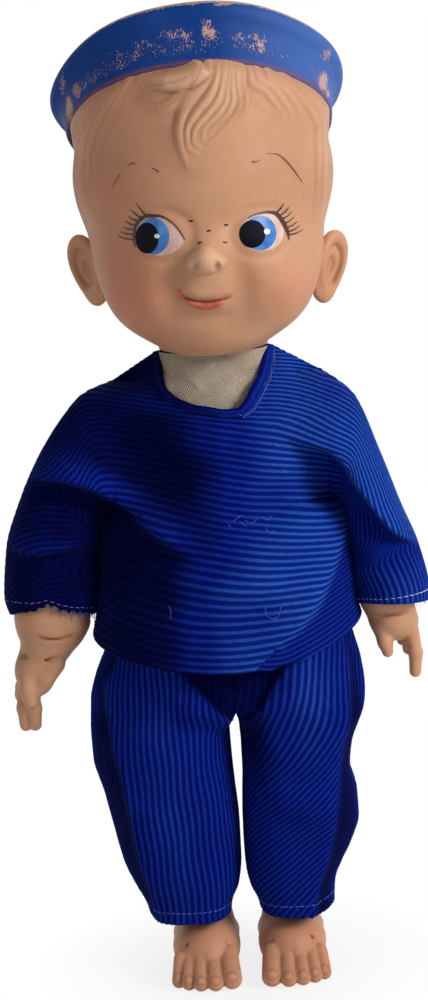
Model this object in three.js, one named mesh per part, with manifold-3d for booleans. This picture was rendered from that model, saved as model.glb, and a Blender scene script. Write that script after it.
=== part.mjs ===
// A jointed vinyl baby doll in a corduroy sailor suit.
// Millimetres, +Z up. The doll faces -Y and stands on Z = 0, so its right side is at -X.
import * as THREE from "three";
import { mergeVertices } from "three/addons/utils/BufferGeometryUtils.js";
import Module from "manifold-3d";

const wasm = await Module();
wasm.setup();

// Body sizes
const LEG_LENGTH = 100; // sole to hip axis
const THIGH_LENGTH = 40; // hip axis to knee
const TORSO_LENGTH = 80; // hip axis to shoulder axis
const NECK_RISE = 23.8; // shoulder axis to the seat under the head
const HEAD_RISE = 40.2; // seat under the head to the head's middle
const WALL = 2.6; // vinyl wall of the head and the torso
const HIP_HALF_WIDTH = 31;
const WAIST_HALF_WIDTH = 29;
const CHEST_HALF_WIDTH = 31;
const SHOULDER_HALF_WIDTH = 30; // middle of the body to the flat seat of an arm
const TORSO_HALF_DEPTH = 22.5;
const NECK_RADIUS = 13.5;
const HIP_BLOCK_HALF_WIDTH = 12; // middle of the body to the flat seat of a leg
const HIP_BLOCK_RADIUS = 15;
const BELLY_ABOVE_HIP = 18; // the belly's lower edge, clear of a raised thigh

// Joints: each limb has a moulded peg with a flange that snaps through a hole
const SEAT_GAP = 0.3; // between two pieces that bear on each other
const REST_GAP = 0.5; // between cloth and the body that it lies on
const PEG_GAP = 0.4; // round a peg in its hole
const LIMB_PEG_RADIUS = 6;
const LIMB_FLANGE_RADIUS = 8;
const NECK_PEG_RADIUS = 9;
const NECK_FLANGE_RADIUS = 11.5;
const FLANGE_THICKNESS = 2;

// Head
const HEAD_FORWARD = 2; // the head's middle in front of the neck's axis
const HEAD_HALF_WIDTH = 40.6;
const HEAD_HALF_DEPTH = 43;
const HEAD_DOME_HEIGHT = 35;
const FACE_HALF_WIDTH = 35.8;
const FACE_HALF_DEPTH = 36;
const FACE_DROP = 31;
const NOSE_LENGTH = 6.5;
const NECK_COLLAR_RADIUS = 15.8;
const EAR_HEIGHT = 23;
const EAR_WIDTH = 14;
const EAR_THICKNESS = 6.5;
const CAP_BAND_RADIUS = 41.2;
const CAP_RIM_RADIUS = 46;
const CAP_HEIGHT = 20;
const CAP_ROOM_HEIGHT = 13; // hollow under the crown
const CAP_TILT = 29; // degrees back from level

// Arms and legs
const ARM_LENGTH = 93; // shoulder axis to the longest finger tip, measured down
const ARM_SPREAD = 31; // how far the hand hangs outside the arm's seat
const UPPER_ARM_RADIUS = 8.2;
const FOREARM_RADIUS = 9.2;
const WRIST_RADIUS = 8;
const FINGER_RADIUS = 2.8;
const THIGH_HALF_WIDTH = 10.5;
const THIGH_HALF_DEPTH = 14;
const ANKLE_HALF_WIDTH = 9.4;
const FOOT_SPACING = 14; // middle of the body to the middle of a foot
const FOOT_HALF_WIDTH = 11.6;
const FOOT_LENGTH = 49;
const HEEL_BEHIND_HIP = 17;
const TOE_RADIUS = 3;

// Clothes
const CLOTH = 1.2; // thickness of corduroy
const LINEN = 0.8;
const SHIRT_EASE = 8; // room between the chest and the shirt
const SHIRT_HEM_ABOVE_HIP = 6;
const SHIRT_HEM_FLARE = 3;
const SHIRT_BELLY_FRONT = 36.5; // depths before and behind the body's middle
const SHIRT_BELLY_BACK = 33;
const SHIRT_CHEST_FRONT = 31;
const SHIRT_CHEST_BACK = 30;
const SHIRT_SHOULDER_FRONT = 23.5;
const SHIRT_SHOULDER_BACK = 25.5;
const ARMHOLE_RADIUS = 26;
const ARMHOLE_OUTSIDE_SEAT = 3; // the sleeve starts this far outside the arm's seat
const SLEEVE_END_BELOW_SHOULDER = 60;
const SLEEVE_HALF_DEPTH = 20;
const CUFF_HALF_DEPTH = 15.5;
const NECKLINE_DROP = 12.5; // front of the neckline below the seat under the head
const PLACKET_WIDTH = 9;
const SNAP_RADIUS = 2.6;
const SNAP_DEPTH = 0.9; // one half of a snap fastener
const ELASTIC_HEIGHT = 6;
const ELASTIC_THICKNESS = 0.8;
const WAIST_ABOVE_HIP = 27;
const TROUSER_EASE = 12.5; // room outside the hips
const TROUSER_HALF_DEPTH = 29;
const TROUSER_GAP = 1.4; // between the two trouser legs
const HEM_ABOVE_FLOOR = 18.5;
const HEM_HALF_DEPTH = 20.5;
const TROUSER_SPLIT_RADIUS = 34; // round the hip axis, where the seat ends and a leg begins

// Places that follow from the sizes
const HIP_Z = LEG_LENGTH;
const SHOULDER_Z = HIP_Z + TORSO_LENGTH;
const NECK_SEAT_Z = SHOULDER_Z + NECK_RISE;
const HEAD_Z = NECK_SEAT_Z + HEAD_RISE;
const BELLY_Z = HIP_Z + BELLY_ABOVE_HIP;
const KNEE_Z = HIP_Z - THIGH_LENGTH;
const ARMHOLE_X = SHOULDER_HALF_WIDTH + ARMHOLE_OUTSIDE_SEAT;
const SHIRT_SIDE = CHEST_HALF_WIDTH + SHIRT_EASE;
const SHIRT_HEM_Z = HIP_Z + SHIRT_HEM_ABOVE_HIP;
const CUFF_Z = SHOULDER_Z - SLEEVE_END_BELOW_SHOULDER;
const WAIST_Z = HIP_Z + WAIST_ABOVE_HIP;
const HAND_X = SHOULDER_HALF_WIDTH + ARM_SPREAD;
const FAR = 400; // longer than the doll, for cutting blocks
const BODY_SIDES = 26; // facets round the torso and the clothes on it

// Finishes
const SKIN = { color: 0xd9a588, roughness: 0.5, metalness: 0 };
const CORDUROY = { color: 0x0b2a8c, roughness: 0.9, metalness: 0 };
const CREAM_LINEN = { color: 0xb9ab90, roughness: 0.95, metalness: 0 };
const ELASTIC = { color: 0xe6e2d8, roughness: 0.85, metalness: 0 };
const STEEL = { color: 0x9a9a9c, roughness: 0.35, metalness: 1 };

// Solids from geometries, and back

function signedVolume(points, triangles) {
  const [a, b, c] = [new THREE.Vector3(), new THREE.Vector3(), new THREE.Vector3()];
  let sum = 0;
  for (let i = 0; i < triangles.length; i += 3) {
    a.fromArray(points, 3 * triangles[i]);
    b.fromArray(points, 3 * triangles[i + 1]);
    c.fromArray(points, 3 * triangles[i + 2]);
    sum += a.dot(b.cross(c)) / 6;
  }
  return sum;
}

// A closed geometry as a solid, with its faces turned outwards.
function solidOf(geometry) {
  const bare = geometry.clone();
  bare.deleteAttribute("normal");
  bare.deleteAttribute("uv");
  const merged = mergeVertices(bare, 1e-4);
  const points = new Float32Array(merged.attributes.position.array);
  const faces = [];
  for (let i = 0; i < merged.index.count; i += 3) {
    const [a, b, c] = [0, 1, 2].map((k) => merged.index.getX(i + k));
    if (a !== b && b !== c && c !== a) faces.push(a, b, c);
  }
  if (signedVolume(points, faces) < 0) faces.reverse();
  const mesh = new wasm.Mesh({
    numProp: 3,
    vertProperties: points,
    triVerts: new Uint32Array(faces),
  });
  return new wasm.Manifold(mesh);
}

function meshOf(name, solid, finish) {
  const { vertProperties, numProp, triVerts } = solid.getMesh();
  const positions = [];
  for (let i = 0; i < vertProperties.length; i += numProp) {
    positions.push(vertProperties[i], vertProperties[i + 1], vertProperties[i + 2]);
  }
  const geometry = new THREE.BufferGeometry();
  geometry.setAttribute("position", new THREE.Float32BufferAttribute(positions, 3));
  geometry.setIndex(Array.from(triVerts));
  geometry.computeVertexNormals();
  const mesh = new THREE.Mesh(geometry, new THREE.MeshStandardMaterial(finish));
  mesh.name = name;
  return mesh;
}

const union = (...solids) => solids.reduce((all, next) => all.add(next));

// Shapes

// A closed skin through rings of points that all have the same count.
function loft(rings) {
  const count = rings[0].length;
  const last = rings.length - 1;
  const points = rings.flat();
  const middle = (ring) => ring.reduce((sum, p) => sum.add(p), new THREE.Vector3()).divideScalar(count);
  const [first, end] = [points.length, points.length + 1];
  const faces = [];
  points.push(middle(rings[0]), middle(rings[last]));
  for (let j = 0; j < count; j++) {
    const next = (j + 1) % count;
    for (let i = 0; i < last; i++) {
      const [a, b] = [i * count + j, i * count + next];
      faces.push(a, b, b + count, a, b + count, a + count);
    }
    faces.push(first, next, j, end, last * count + j, last * count + next);
  }
  const geometry = new THREE.BufferGeometry().setFromPoints(points);
  geometry.setIndex(faces);
  return solidOf(geometry);
}

// A level oval ring, with more points at its front. The front and the back may be of different depth.
function oval({ x = 0, y = 0, z, halfWidth, front, back = front, square = 2 }, count) {
  const backCount = 2 * Math.round(count * 0.18);
  return Array.from({ length: count }, (_, i) => {
    const share = i < backCount ? i / backCount : 1 + (i - backCount) / (count - backCount);
    const turn = Math.PI * share;
    const round = (value) => Math.sign(value) * Math.abs(value) ** (2 / square);
    const [c, s] = [round(Math.cos(turn)), round(Math.sin(turn))];
    return new THREE.Vector3(x + halfWidth * c, y + (s < 0 ? front : back) * s, z);
  });
}

// A ring that stands between two points of the XZ plane, and is halfDepth deep to each side of it.
function hoop([x0, z0], [x1, z1], halfDepth, count) {
  return Array.from({ length: count }, (_, i) => {
    const turn = (2 * Math.PI * i) / count;
    const along = (1 - Math.cos(turn)) / 2;
    const y = halfDepth * Math.sin(turn);
    return new THREE.Vector3(THREE.MathUtils.lerp(x0, x1, along), y, THREE.MathUtils.lerp(z0, z1, along));
  });
}

// A round tapered limb along a smooth path, with a round end.
function limb(stations, count, steps) {
  const path = new THREE.CatmullRomCurve3(stations.map((s) => s.at));
  const radii = new THREE.SplineCurve(stations.map((s, i) => new THREE.Vector2(i, s.radius)));
  const frames = path.computeFrenetFrames(steps);
  const roundEnd = [0.7]; // shares of the last radius
  const ringAt = (centre, i, radius) =>
    Array.from({ length: count }, (_, j) => {
      const turn = (2 * Math.PI * j) / count;
      return centre
        .clone()
        .addScaledVector(frames.normals[i], radius * Math.cos(turn))
        .addScaledVector(frames.binormals[i], radius * Math.sin(turn));
    });
  const rings = [];
  for (let i = 0; i <= steps; i++) {
    rings.push(ringAt(path.getPoint(i / steps), i, radii.getPoint(i / steps).y));
  }
  const tip = stations[stations.length - 1];
  for (const share of roundEnd) {
    const ahead = tip.radius * Math.sqrt(1 - share * share);
    const centre = tip.at.clone().addScaledVector(frames.tangents[steps], ahead);
    rings.push(ringAt(centre, steps, tip.radius * share));
  }
  return loft(rings);
}

// A round bar along X from x0 to x1.
function barX(radius, x0, x1, z, sides = 16) {
  const bar = new THREE.CylinderGeometry(radius, radius, Math.abs(x1 - x0), sides);
  return solidOf(bar.rotateZ(Math.PI / 2).translate((x0 + x1) / 2, 0, z));
}

// A round post from z0 up to z1.
function postZ(radius, z0, z1, sides = 20) {
  const post = new THREE.CylinderGeometry(radius, radius, z1 - z0, sides);
  return solidOf(post.rotateX(Math.PI / 2).translate(0, 0, (z0 + z1) / 2));
}

function block([x0, y0, z0], [x1, y1, z1]) {
  const box = new THREE.BoxGeometry(x1 - x0, y1 - y0, z1 - z0);
  return solidOf(box.translate((x0 + x1) / 2, (y0 + y1) / 2, (z0 + z1) / 2));
}

function ball([x, y, z], [rx, ry, rz], across = 14, up = 10) {
  const sphere = new THREE.SphereGeometry(1, across, up).rotateX(Math.PI / 2);
  return solidOf(sphere.scale(rx, ry, rz).translate(x, y, z));
}

// The same solid on the other side of the body
const mirrored = (solid) => solid.mirror([1, 0, 0]);

// Head: a hollow moulding of face, hair, ears and cap

const HEAD_MIDDLE = new THREE.Vector3(0, -HEAD_FORWARD, HEAD_Z);
const CHEEK = { x: 12.6, y: 15, below: 18.5, halfWidth: 18.4, halfDepth: 18.5, halfHeight: 16.5 };
const HEAD_LUMPS = [
  { at: [0, 3, 14], half: [HEAD_HALF_WIDTH, HEAD_HALF_DEPTH, HEAD_DOME_HEIGHT] },
  { at: [0, -4, -8], half: [FACE_HALF_WIDTH, FACE_HALF_DEPTH, FACE_DROP] },
  { at: [CHEEK.x, -CHEEK.y, -CHEEK.below], half: [CHEEK.halfWidth, CHEEK.halfDepth, CHEEK.halfHeight] },
  { at: [-CHEEK.x, -CHEEK.y, -CHEEK.below], half: [CHEEK.halfWidth, CHEEK.halfDepth, CHEEK.halfHeight] },
  { at: [0, -16, -29], half: [18, 15.5, 11.5] },
  { at: [0, -9, 33], half: [35, 27, 22] }, // the hair under the cap's front
];
const LUMP_BLEND = 3;
// Raised places of the face: across, up from the head's middle, half sizes and height
const FACE_FEATURES = [
  { x: 0, z: -8.5, halfWidth: 5.6, halfHeight: 5, height: NOSE_LENGTH },
  { x: 0, z: -21, halfWidth: 8, halfHeight: 5, height: 1.6 },
  { x: -14.5, z: -1.5, halfWidth: 7.5, halfHeight: 5.6, height: 0.9 },
  { x: 15.5, z: -1.5, halfWidth: 7.5, halfHeight: 5.6, height: 0.9 },
  { x: -7, z: 31, halfWidth: 8, halfHeight: 7, height: 2.2 },
  { x: 4, z: 27, halfWidth: 10, halfHeight: 8, height: 1.8 },
];

// How far a ray from the head's middle runs until it leaves a lump, or 0 where it misses.
function lumpReach(direction, { at, half }) {
  const [p, d] = [at.map((c, i) => -c / half[i]), direction.toArray().map((c, i) => c / half[i])];
  const [a, b, c] = [0, 1, 2].reduce(
    ([aa, bb, cc], i) => [aa + d[i] * d[i], bb + p[i] * d[i], cc + p[i] * p[i]],
    [0, 0, -1],
  );
  const root = b * b - a * c;
  return root < 0 ? 0 : (-b + Math.sqrt(root)) / a;
}

function headReach(direction) {
  const sum = HEAD_LUMPS.reduce((all, lump) => all + Math.exp(lumpReach(direction, lump) / LUMP_BLEND), 0);
  const bare = LUMP_BLEND * Math.log(sum);
  const [x, z] = [bare * direction.x, bare * direction.z];
  const frontness = THREE.MathUtils.smoothstep(-direction.y, 0, 0.3);
  return FACE_FEATURES.reduce((reach, f) => {
    const far = ((x - f.x) / f.halfWidth) ** 2 + ((z - f.z) / f.halfHeight) ** 2;
    return reach + frontness * f.height * Math.exp(-far);
  }, bare);
}

// The head's skin, or with a depth the skin's inner side.
function headSkin(depth, across, up) {
  const sphere = new THREE.SphereGeometry(1, across, up).rotateX(Math.PI / 2);
  const position = sphere.attributes.position;
  const direction = new THREE.Vector3();
  for (let i = 0; i < position.count; i++) {
    direction.fromBufferAttribute(position, i).normalize();
    const reach = headReach(direction) - depth;
    const point = direction.clone().multiplyScalar(reach).add(HEAD_MIDDLE);
    position.setXYZ(i, point.x, point.y, point.z);
  }
  return solidOf(sphere);
}

// The cap: an upright band, a flared rim and a low crown, tipped back on the head.
const CAP_MIDDLE = new THREE.Vector3(0, 0.5 - HEAD_FORWARD, HEAD_Z + 29);
const CAP_ROOT = 8; // the band goes on this far inside the hair
function capTilted(geometry) {
  geometry.rotateX(Math.PI / 2 - THREE.MathUtils.degToRad(CAP_TILT));
  return solidOf(geometry.translate(...CAP_MIDDLE.toArray()));
}

function capSolid() {
  const profile = [
    [0, -CAP_ROOT],
    [CAP_BAND_RADIUS - 4, -CAP_ROOT],
    [CAP_BAND_RADIUS, 0],
    [CAP_BAND_RADIUS + 0.8, 0.4 * CAP_HEIGHT],
    [CAP_RIM_RADIUS - 0.8, 0.66 * CAP_HEIGHT],
    [CAP_RIM_RADIUS, 0.8 * CAP_HEIGHT],
    [CAP_RIM_RADIUS - 1.6, 0.93 * CAP_HEIGHT],
    [CAP_RIM_RADIUS - 5, 0.93 * CAP_HEIGHT],
    [CAP_RIM_RADIUS - 9, 0.8 * CAP_HEIGHT],
    [CAP_RIM_RADIUS / 2, 0.93 * CAP_HEIGHT],
    [0, CAP_HEIGHT],
  ];
  const outline = profile.map(([radius, height]) => new THREE.Vector2(radius, height));
  return capTilted(new THREE.LatheGeometry(outline, 24));
}

function capRoom() {
  const radius = CAP_BAND_RADIUS - 2 * WALL;
  return capTilted(new THREE.SphereGeometry(1, 10, 6).scale(radius, CAP_ROOM_HEIGHT, radius));
}

function earSolid() {
  const shell = new THREE.SphereGeometry(1, 8, 8).scale(EAR_THICKNESS / 2, EAR_WIDTH / 2, EAR_HEIGHT / 2);
  const hollow = new THREE.SphereGeometry(1, 6, 4).scale(EAR_THICKNESS / 2, EAR_WIDTH / 4, EAR_HEIGHT / 3.4);
  hollow.translate(EAR_THICKNESS * 0.42, -EAR_WIDTH * 0.12, EAR_HEIGHT * 0.04);
  const turn = new THREE.Matrix4().makeRotationZ(-0.75);
  const seat = new THREE.Matrix4().makeTranslation(FACE_HALF_WIDTH + 2.4, 3 - HEAD_FORWARD, HEAD_Z - 14.5);
  const place = (g) => solidOf(g.applyMatrix4(turn).applyMatrix4(seat));
  return place(shell).subtract(place(hollow));
}

function headSolid() {
  const collarTop = NECK_SEAT_Z + 12;
  const collar = postZ(NECK_COLLAR_RADIUS, NECK_SEAT_Z, collarTop);
  const ear = earSolid();
  const outside = union(headSkin(0, 24, 18), capSolid(), collar, ear, mirrored(ear));
  const flangeRoom = postZ(NECK_FLANGE_RADIUS + 1.2, NECK_SEAT_Z + WALL, NECK_SEAT_Z + 20);
  const below = block([-FAR, -FAR, -FAR], [FAR, FAR, NECK_SEAT_Z + WALL]);
  const inside = union(headSkin(WALL, 10, 8), capRoom()).subtract(below).add(flangeRoom);
  const hole = postZ(NECK_PEG_RADIUS + PEG_GAP, NECK_SEAT_Z - 1, NECK_SEAT_Z + WALL + 1);
  const underNeck = block([-FAR, -FAR, -FAR], [FAR, FAR, NECK_SEAT_Z]);
  return outside.subtract(inside).subtract(hole).subtract(underNeck);
}

// Torso: a hollow moulding with a peg for the head and holes for the limbs

const TORSO_RINGS = [
  { z: BELLY_Z, halfWidth: HIP_HALF_WIDTH - 4, front: TORSO_HALF_DEPTH - 3 },
  { z: BELLY_Z + 5, halfWidth: HIP_HALF_WIDTH, front: TORSO_HALF_DEPTH },
  { z: (HIP_Z + SHOULDER_Z) / 2 + 2, halfWidth: WAIST_HALF_WIDTH, front: TORSO_HALF_DEPTH },
  { z: SHOULDER_Z - 16, halfWidth: CHEST_HALF_WIDTH, front: TORSO_HALF_DEPTH - 0.5 },
  { z: SHOULDER_Z, halfWidth: SHOULDER_HALF_WIDTH, front: TORSO_HALF_DEPTH - 3.5 },
  { z: SHOULDER_Z + 8, halfWidth: SHOULDER_HALF_WIDTH + 0.8, front: TORSO_HALF_DEPTH - 5.5 },
  { z: SHOULDER_Z + 13, halfWidth: SHOULDER_HALF_WIDTH - 1.5, front: TORSO_HALF_DEPTH - 7 },
  { z: SHOULDER_Z + 16.5, halfWidth: SHOULDER_HALF_WIDTH - 8, front: TORSO_HALF_DEPTH - 8 },
  { z: SHOULDER_Z + 19, halfWidth: NECK_RADIUS + 2, front: NECK_RADIUS + 0.3 },
  { z: SHOULDER_Z + 20, halfWidth: NECK_RADIUS, front: NECK_RADIUS },
  { z: NECK_SEAT_Z - SEAT_GAP, halfWidth: NECK_RADIUS, front: NECK_RADIUS },
];

// The torso's rings, grown on all sides and lifted, for the skin's inner side or for clothes.
const grownRings = (rings, grow, lift) =>
  rings.map((r) => ({
    ...r,
    z: r.z + lift,
    halfWidth: r.halfWidth + grow,
    front: r.front + grow,
    back: (r.back ?? r.front) + grow,
  }));

function hipBlock(inset) {
  const half = HIP_BLOCK_HALF_WIDTH - inset;
  const radius = HIP_BLOCK_RADIUS - inset;
  const web = block([-half, -radius, HIP_Z], [half, radius, BELLY_Z + 4 + inset]);
  return barX(radius, -half, half, HIP_Z).add(web);
}

function torsoSolid() {
  const sides = BODY_SIDES;
  const trunk = loft(TORSO_RINGS.map((r) => oval(r, sides)));
  const shoulders = barX(LIMB_FLANGE_RADIUS + 3, -SHOULDER_HALF_WIDTH, SHOULDER_HALF_WIDTH, SHOULDER_Z);
  const flangeZ = NECK_SEAT_Z + WALL + SEAT_GAP;
  const peg = postZ(NECK_PEG_RADIUS, NECK_SEAT_Z - 4, flangeZ + FLANGE_THICKNESS);
  const flange = postZ(NECK_FLANGE_RADIUS, flangeZ, flangeZ + FLANGE_THICKNESS);
  const sideSeat = (side) => {
    const [x0, x1] = [SHOULDER_HALF_WIDTH, FAR].map((x) => side * x).sort((a, b) => a - b);
    const radius = LIMB_FLANGE_RADIUS + 3.5;
    return block([x0, -radius, SHOULDER_Z - radius], [x1, radius, SHOULDER_Z + radius]);
  };
  const whole = union(trunk, shoulders, hipBlock(0), peg, flange);
  const outside = whole.subtract(sideSeat(1)).subtract(sideSeat(-1));
  const roomRings = grownRings(TORSO_RINGS.slice(0, -3), -WALL, 0);
  roomRings[0].z += WALL;
  const armRoom = SHOULDER_HALF_WIDTH - WALL;
  const shoulderRoom = barX(LIMB_FLANGE_RADIUS + 1, -armRoom, armRoom, SHOULDER_Z, 20);
  const inside = union(loft(roomRings.map((r) => oval(r, 12))), hipBlock(WALL), shoulderRoom);
  const hole = LIMB_PEG_RADIUS + PEG_GAP;
  const armHoles = barX(hole, -FAR, FAR, SHOULDER_Z);
  const legHoles = barX(hole, -HIP_BLOCK_HALF_WIDTH - 1, HIP_BLOCK_HALF_WIDTH + 1, HIP_Z);
  return outside.subtract(inside).subtract(armHoles).subtract(legHoles);
}

// The peg and flange of a limb on the +X side, whose flat seat is at x.
function limbPeg(seatX, z) {
  const flangeOut = seatX - WALL - SEAT_GAP;
  const flangeIn = flangeOut - FLANGE_THICKNESS;
  const peg = barX(LIMB_PEG_RADIUS, flangeIn, seatX + 4, z);
  return peg.add(barX(LIMB_FLANGE_RADIUS, flangeIn, flangeOut, z));
}

// Arms, modelled at +X

const HAND_Z = SHOULDER_Z - ARM_LENGTH;
const at = (x, y, z) => new THREE.Vector3(x, y, z);
const WRIST = at(HAND_X - 4, -2, HAND_Z + 28);
const ARM_PATH = [
  { at: at(SHOULDER_HALF_WIDTH + 7, 0, SHOULDER_Z), radius: UPPER_ARM_RADIUS + 0.4 },
  { at: at(SHOULDER_HALF_WIDTH + 15.5, 0, SHOULDER_Z - 15), radius: UPPER_ARM_RADIUS },
  { at: at(SHOULDER_HALF_WIDTH + 21, 0, SHOULDER_Z - 30), radius: UPPER_ARM_RADIUS },
  { at: at(SHOULDER_HALF_WIDTH + 23.5, -0.5, SHOULDER_Z - 46), radius: FOREARM_RADIUS },
  { at: WRIST, radius: WRIST_RADIUS },
];
// Fingers hang from the palm. Each runs from its knuckle to its tip.
const THUMB_DROP = 12;
const PALM_HALF = { across: 9, deep: 6, high: 11 };
const SEAT_DISC_RADIUS = LIMB_FLANGE_RADIUS + 1.5;

// palmTurn is the angle, in degrees, that the thumb points away from the body's middle towards the front.
function armSolid(palmTurn) {
  const turn = THREE.MathUtils.degToRad(palmTurn);
  const palm = WRIST.clone().add(at(1.6, -0.5, -9));
  const across = at(-Math.cos(turn), -Math.sin(turn), 0);
  const finger = (offset, drop, radius, lean) => {
    const knuckle = palm.clone().addScaledVector(across, offset).add(at(0.6, 0, -5));
    const tip = knuckle.clone().addScaledVector(across, lean).add(at(1.6, 0, radius - drop));
    const middle = knuckle.clone().lerp(tip, 0.5);
    const stations = [
      { at: knuckle, radius },
      { at: middle, radius },
      { at: tip, radius: radius * 0.86 },
    ];
    return limb(stations, 5, 2);
  };
  const fingers = [-4.6, -1.6, 1.4, 4.2].map((offset, i) => {
    const drop = palm.z - 5 - HAND_Z - Math.abs(i - 1.2) * 1.4;
    return finger(offset, drop, FINGER_RADIUS, offset * 0.12);
  });
  const thumb = finger(PALM_HALF.across - 1.2, THUMB_DROP, FINGER_RADIUS + 0.3, 3.2);
  const turnedPalm = new THREE.SphereGeometry(1, 10, 6).rotateX(Math.PI / 2);
  turnedPalm.scale(PALM_HALF.across, PALM_HALF.deep, PALM_HALF.high).rotateZ(turn);
  const shoulderHalf = [9, SEAT_DISC_RADIUS, SEAT_DISC_RADIUS];
  const shoulder = ball([SHOULDER_HALF_WIDTH + 6, 0, SHOULDER_Z], shoulderHalf, 10, 8);
  const inward = block([-FAR, -FAR, -FAR], [SHOULDER_HALF_WIDTH + SEAT_GAP, FAR, FAR]);
  const hand = union(solidOf(turnedPalm.translate(...palm.toArray())), thumb, ...fingers);
  const solid = union(limb(ARM_PATH, 10, 6), shoulder, hand);
  return solid.subtract(inward).add(limbPeg(SHOULDER_HALF_WIDTH, SHOULDER_Z));
}

// Legs, modelled at +X

const THIGH_X = HIP_BLOCK_HALF_WIDTH + THIGH_HALF_WIDTH;
const FOOT_Y = HEEL_BEHIND_HIP - FOOT_LENGTH / 2;
const HALF_FOOT = FOOT_LENGTH / 2;
const footRing = (z, back, shorter, narrower, square) => ({
  x: FOOT_SPACING,
  y: FOOT_Y + back,
  z,
  halfWidth: FOOT_HALF_WIDTH - narrower,
  front: HALF_FOOT - shorter,
  square,
});
const thighRing = (z, narrower, thinner) => ({
  x: THIGH_X,
  z,
  halfWidth: THIGH_HALF_WIDTH - narrower,
  front: THIGH_HALF_DEPTH - thinner,
});
const LEG_RINGS = [
  footRing(0, 0, 1, 1, 2.4),
  footRing(2.5, 0, 0, 0, 2.4),
  footRing(7, 0.8, 2, 0, 2.2),
  footRing(12.5, 5, 6.5, 0.8, 2),
  { x: FOOT_SPACING, y: 1, z: 19, halfWidth: ANKLE_HALF_WIDTH, front: 13.5 },
  { x: FOOT_SPACING, y: 2, z: 27, halfWidth: ANKLE_HALF_WIDTH, front: 11.5 },
  { ...thighRing(KNEE_Z, 0, 1), x: (FOOT_SPACING + THIGH_X) / 2, y: 1 },
  thighRing(HIP_Z - 17, 0, 0),
  thighRing(HIP_Z, 0, 0),
  thighRing(HIP_Z + 9, 1.5, 3.5),
  thighRing(HIP_Z + THIGH_HALF_DEPTH, 6, 9),
];

function legSolid() {
  const shape = loft(LEG_RINGS.map((r) => oval(r, 16)));
  const toes = [-7.8, -2.6, 1.8, 5.6, 8.8].map((offset, i) => {
    const radius = i === 0 ? TOE_RADIUS + 0.9 : TOE_RADIUS - 0.15 * i;
    const curve = 0.055 * offset * offset + (offset > 0 ? 0.25 * offset : 0);
    const y = FOOT_Y - FOOT_LENGTH / 2 + radius * 0.5 + curve;
    return ball([FOOT_SPACING + offset, y, radius], [radius, radius * 1.3, radius], 7, 4);
  });
  const hipFace = HIP_BLOCK_HALF_WIDTH + SEAT_GAP;
  const inward = block([-FAR, -FAR, HIP_Z - TROUSER_SPLIT_RADIUS], [hipFace, FAR, FAR]);
  const underFloor = block([-FAR, -FAR, -FAR], [FAR, FAR, 0]);
  const solid = union(shape, ...toes).subtract(inward).subtract(underFloor);
  return solid.add(limbPeg(HIP_BLOCK_HALF_WIDTH, HIP_Z));
}

// Folds in cloth: soft ridges and, with a height below 0, valleys along lines of the front view

const fold = (height, width, ...points) => ({
  height,
  width,
  line: points.map(([x, z]) => new THREE.Vector2(x, z)),
});
function distanceToLine(point, line) {
  const legs = line.slice(1).map((end, i) => {
    const along = end.clone().sub(line[i]);
    const share = THREE.MathUtils.clamp(point.clone().sub(line[i]).dot(along) / along.lengthSq(), 0, 1);
    return line[i].clone().addScaledVector(along, share).distanceTo(point);
  });
  return Math.min(...legs);
}
function foldHeight(folds, x, z) {
  const point = new THREE.Vector2(x, z);
  return folds.reduce((sum, { height, width, line }) => {
    const far = distanceToLine(point, line) / width;
    return sum + height * Math.exp(-far * far);
  }, 0);
}
// Pushes a ring's front out along -Y by the folds there.
const folded = (ring, folds) =>
  ring.map((p) => (p.y < 0 ? at(p.x, p.y - foldHeight(folds, p.x, p.z), p.z) : p));

// Shirt: front, two back pieces that meet at a placket, and a sleeve on each side

const CHEST_Z = SHOULDER_Z - ARMHOLE_RADIUS;
const SHIRT_FOLDS = [
  fold(3.4, 6, [-40, CHEST_Z + 9], [-31, CHEST_Z + 2], [-17, CHEST_Z - 8]),
  fold(1.6, 5, [-36, SHOULDER_Z + 9], [-20, SHOULDER_Z + 9]),
  fold(-3, 7, [-22, SHOULDER_Z - 3], [-9, SHOULDER_Z - 7], [5, CHEST_Z + 8]),
  fold(2.4, 5, [24, SHOULDER_Z - 5], [36, SHOULDER_Z - 10]),
  fold(-2.6, 6, [5, CHEST_Z + 8], [26, CHEST_Z + 5], [38, CHEST_Z - 2]),
  fold(2.4, 6, [38, CHEST_Z - 7], [28, CUFF_Z + 6], [16, CUFF_Z - 4]),
];
const shirtRing = (z, flare, front, back) => ({ z, halfWidth: SHIRT_SIDE + flare, front, back });
const SHIRT_RINGS = [
  shirtRing(SHIRT_HEM_Z, SHIRT_HEM_FLARE, SHIRT_BELLY_FRONT, SHIRT_BELLY_BACK),
  shirtRing(SHIRT_HEM_Z + 6, SHIRT_HEM_FLARE, SHIRT_BELLY_FRONT, SHIRT_BELLY_BACK),
  shirtRing(CUFF_Z, 0, SHIRT_BELLY_FRONT - 1, SHIRT_BELLY_BACK - 1),
  shirtRing((CUFF_Z + CHEST_Z) / 2, 0, SHIRT_CHEST_FRONT + 3, SHIRT_CHEST_BACK + 1),
  shirtRing(CHEST_Z - 4, 0, SHIRT_CHEST_FRONT, SHIRT_CHEST_BACK),
  shirtRing(SHOULDER_Z - 12, 0, SHIRT_SHOULDER_FRONT + 4, SHIRT_SHOULDER_BACK + 2),
  shirtRing(SHOULDER_Z, 0, SHIRT_SHOULDER_FRONT, SHIRT_SHOULDER_BACK),
];
// Rings with one more halfway between each two, to carry the folds.
const refined = (rings) =>
  rings.flatMap((ring, i) => {
    if (i === 0) return [ring];
    const mean = (key) => (ring[key] + rings[i - 1][key]) / 2;
    return [{ z: mean("z"), halfWidth: mean("halfWidth"), front: mean("front"), back: mean("back") }, ring];
  });
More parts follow.
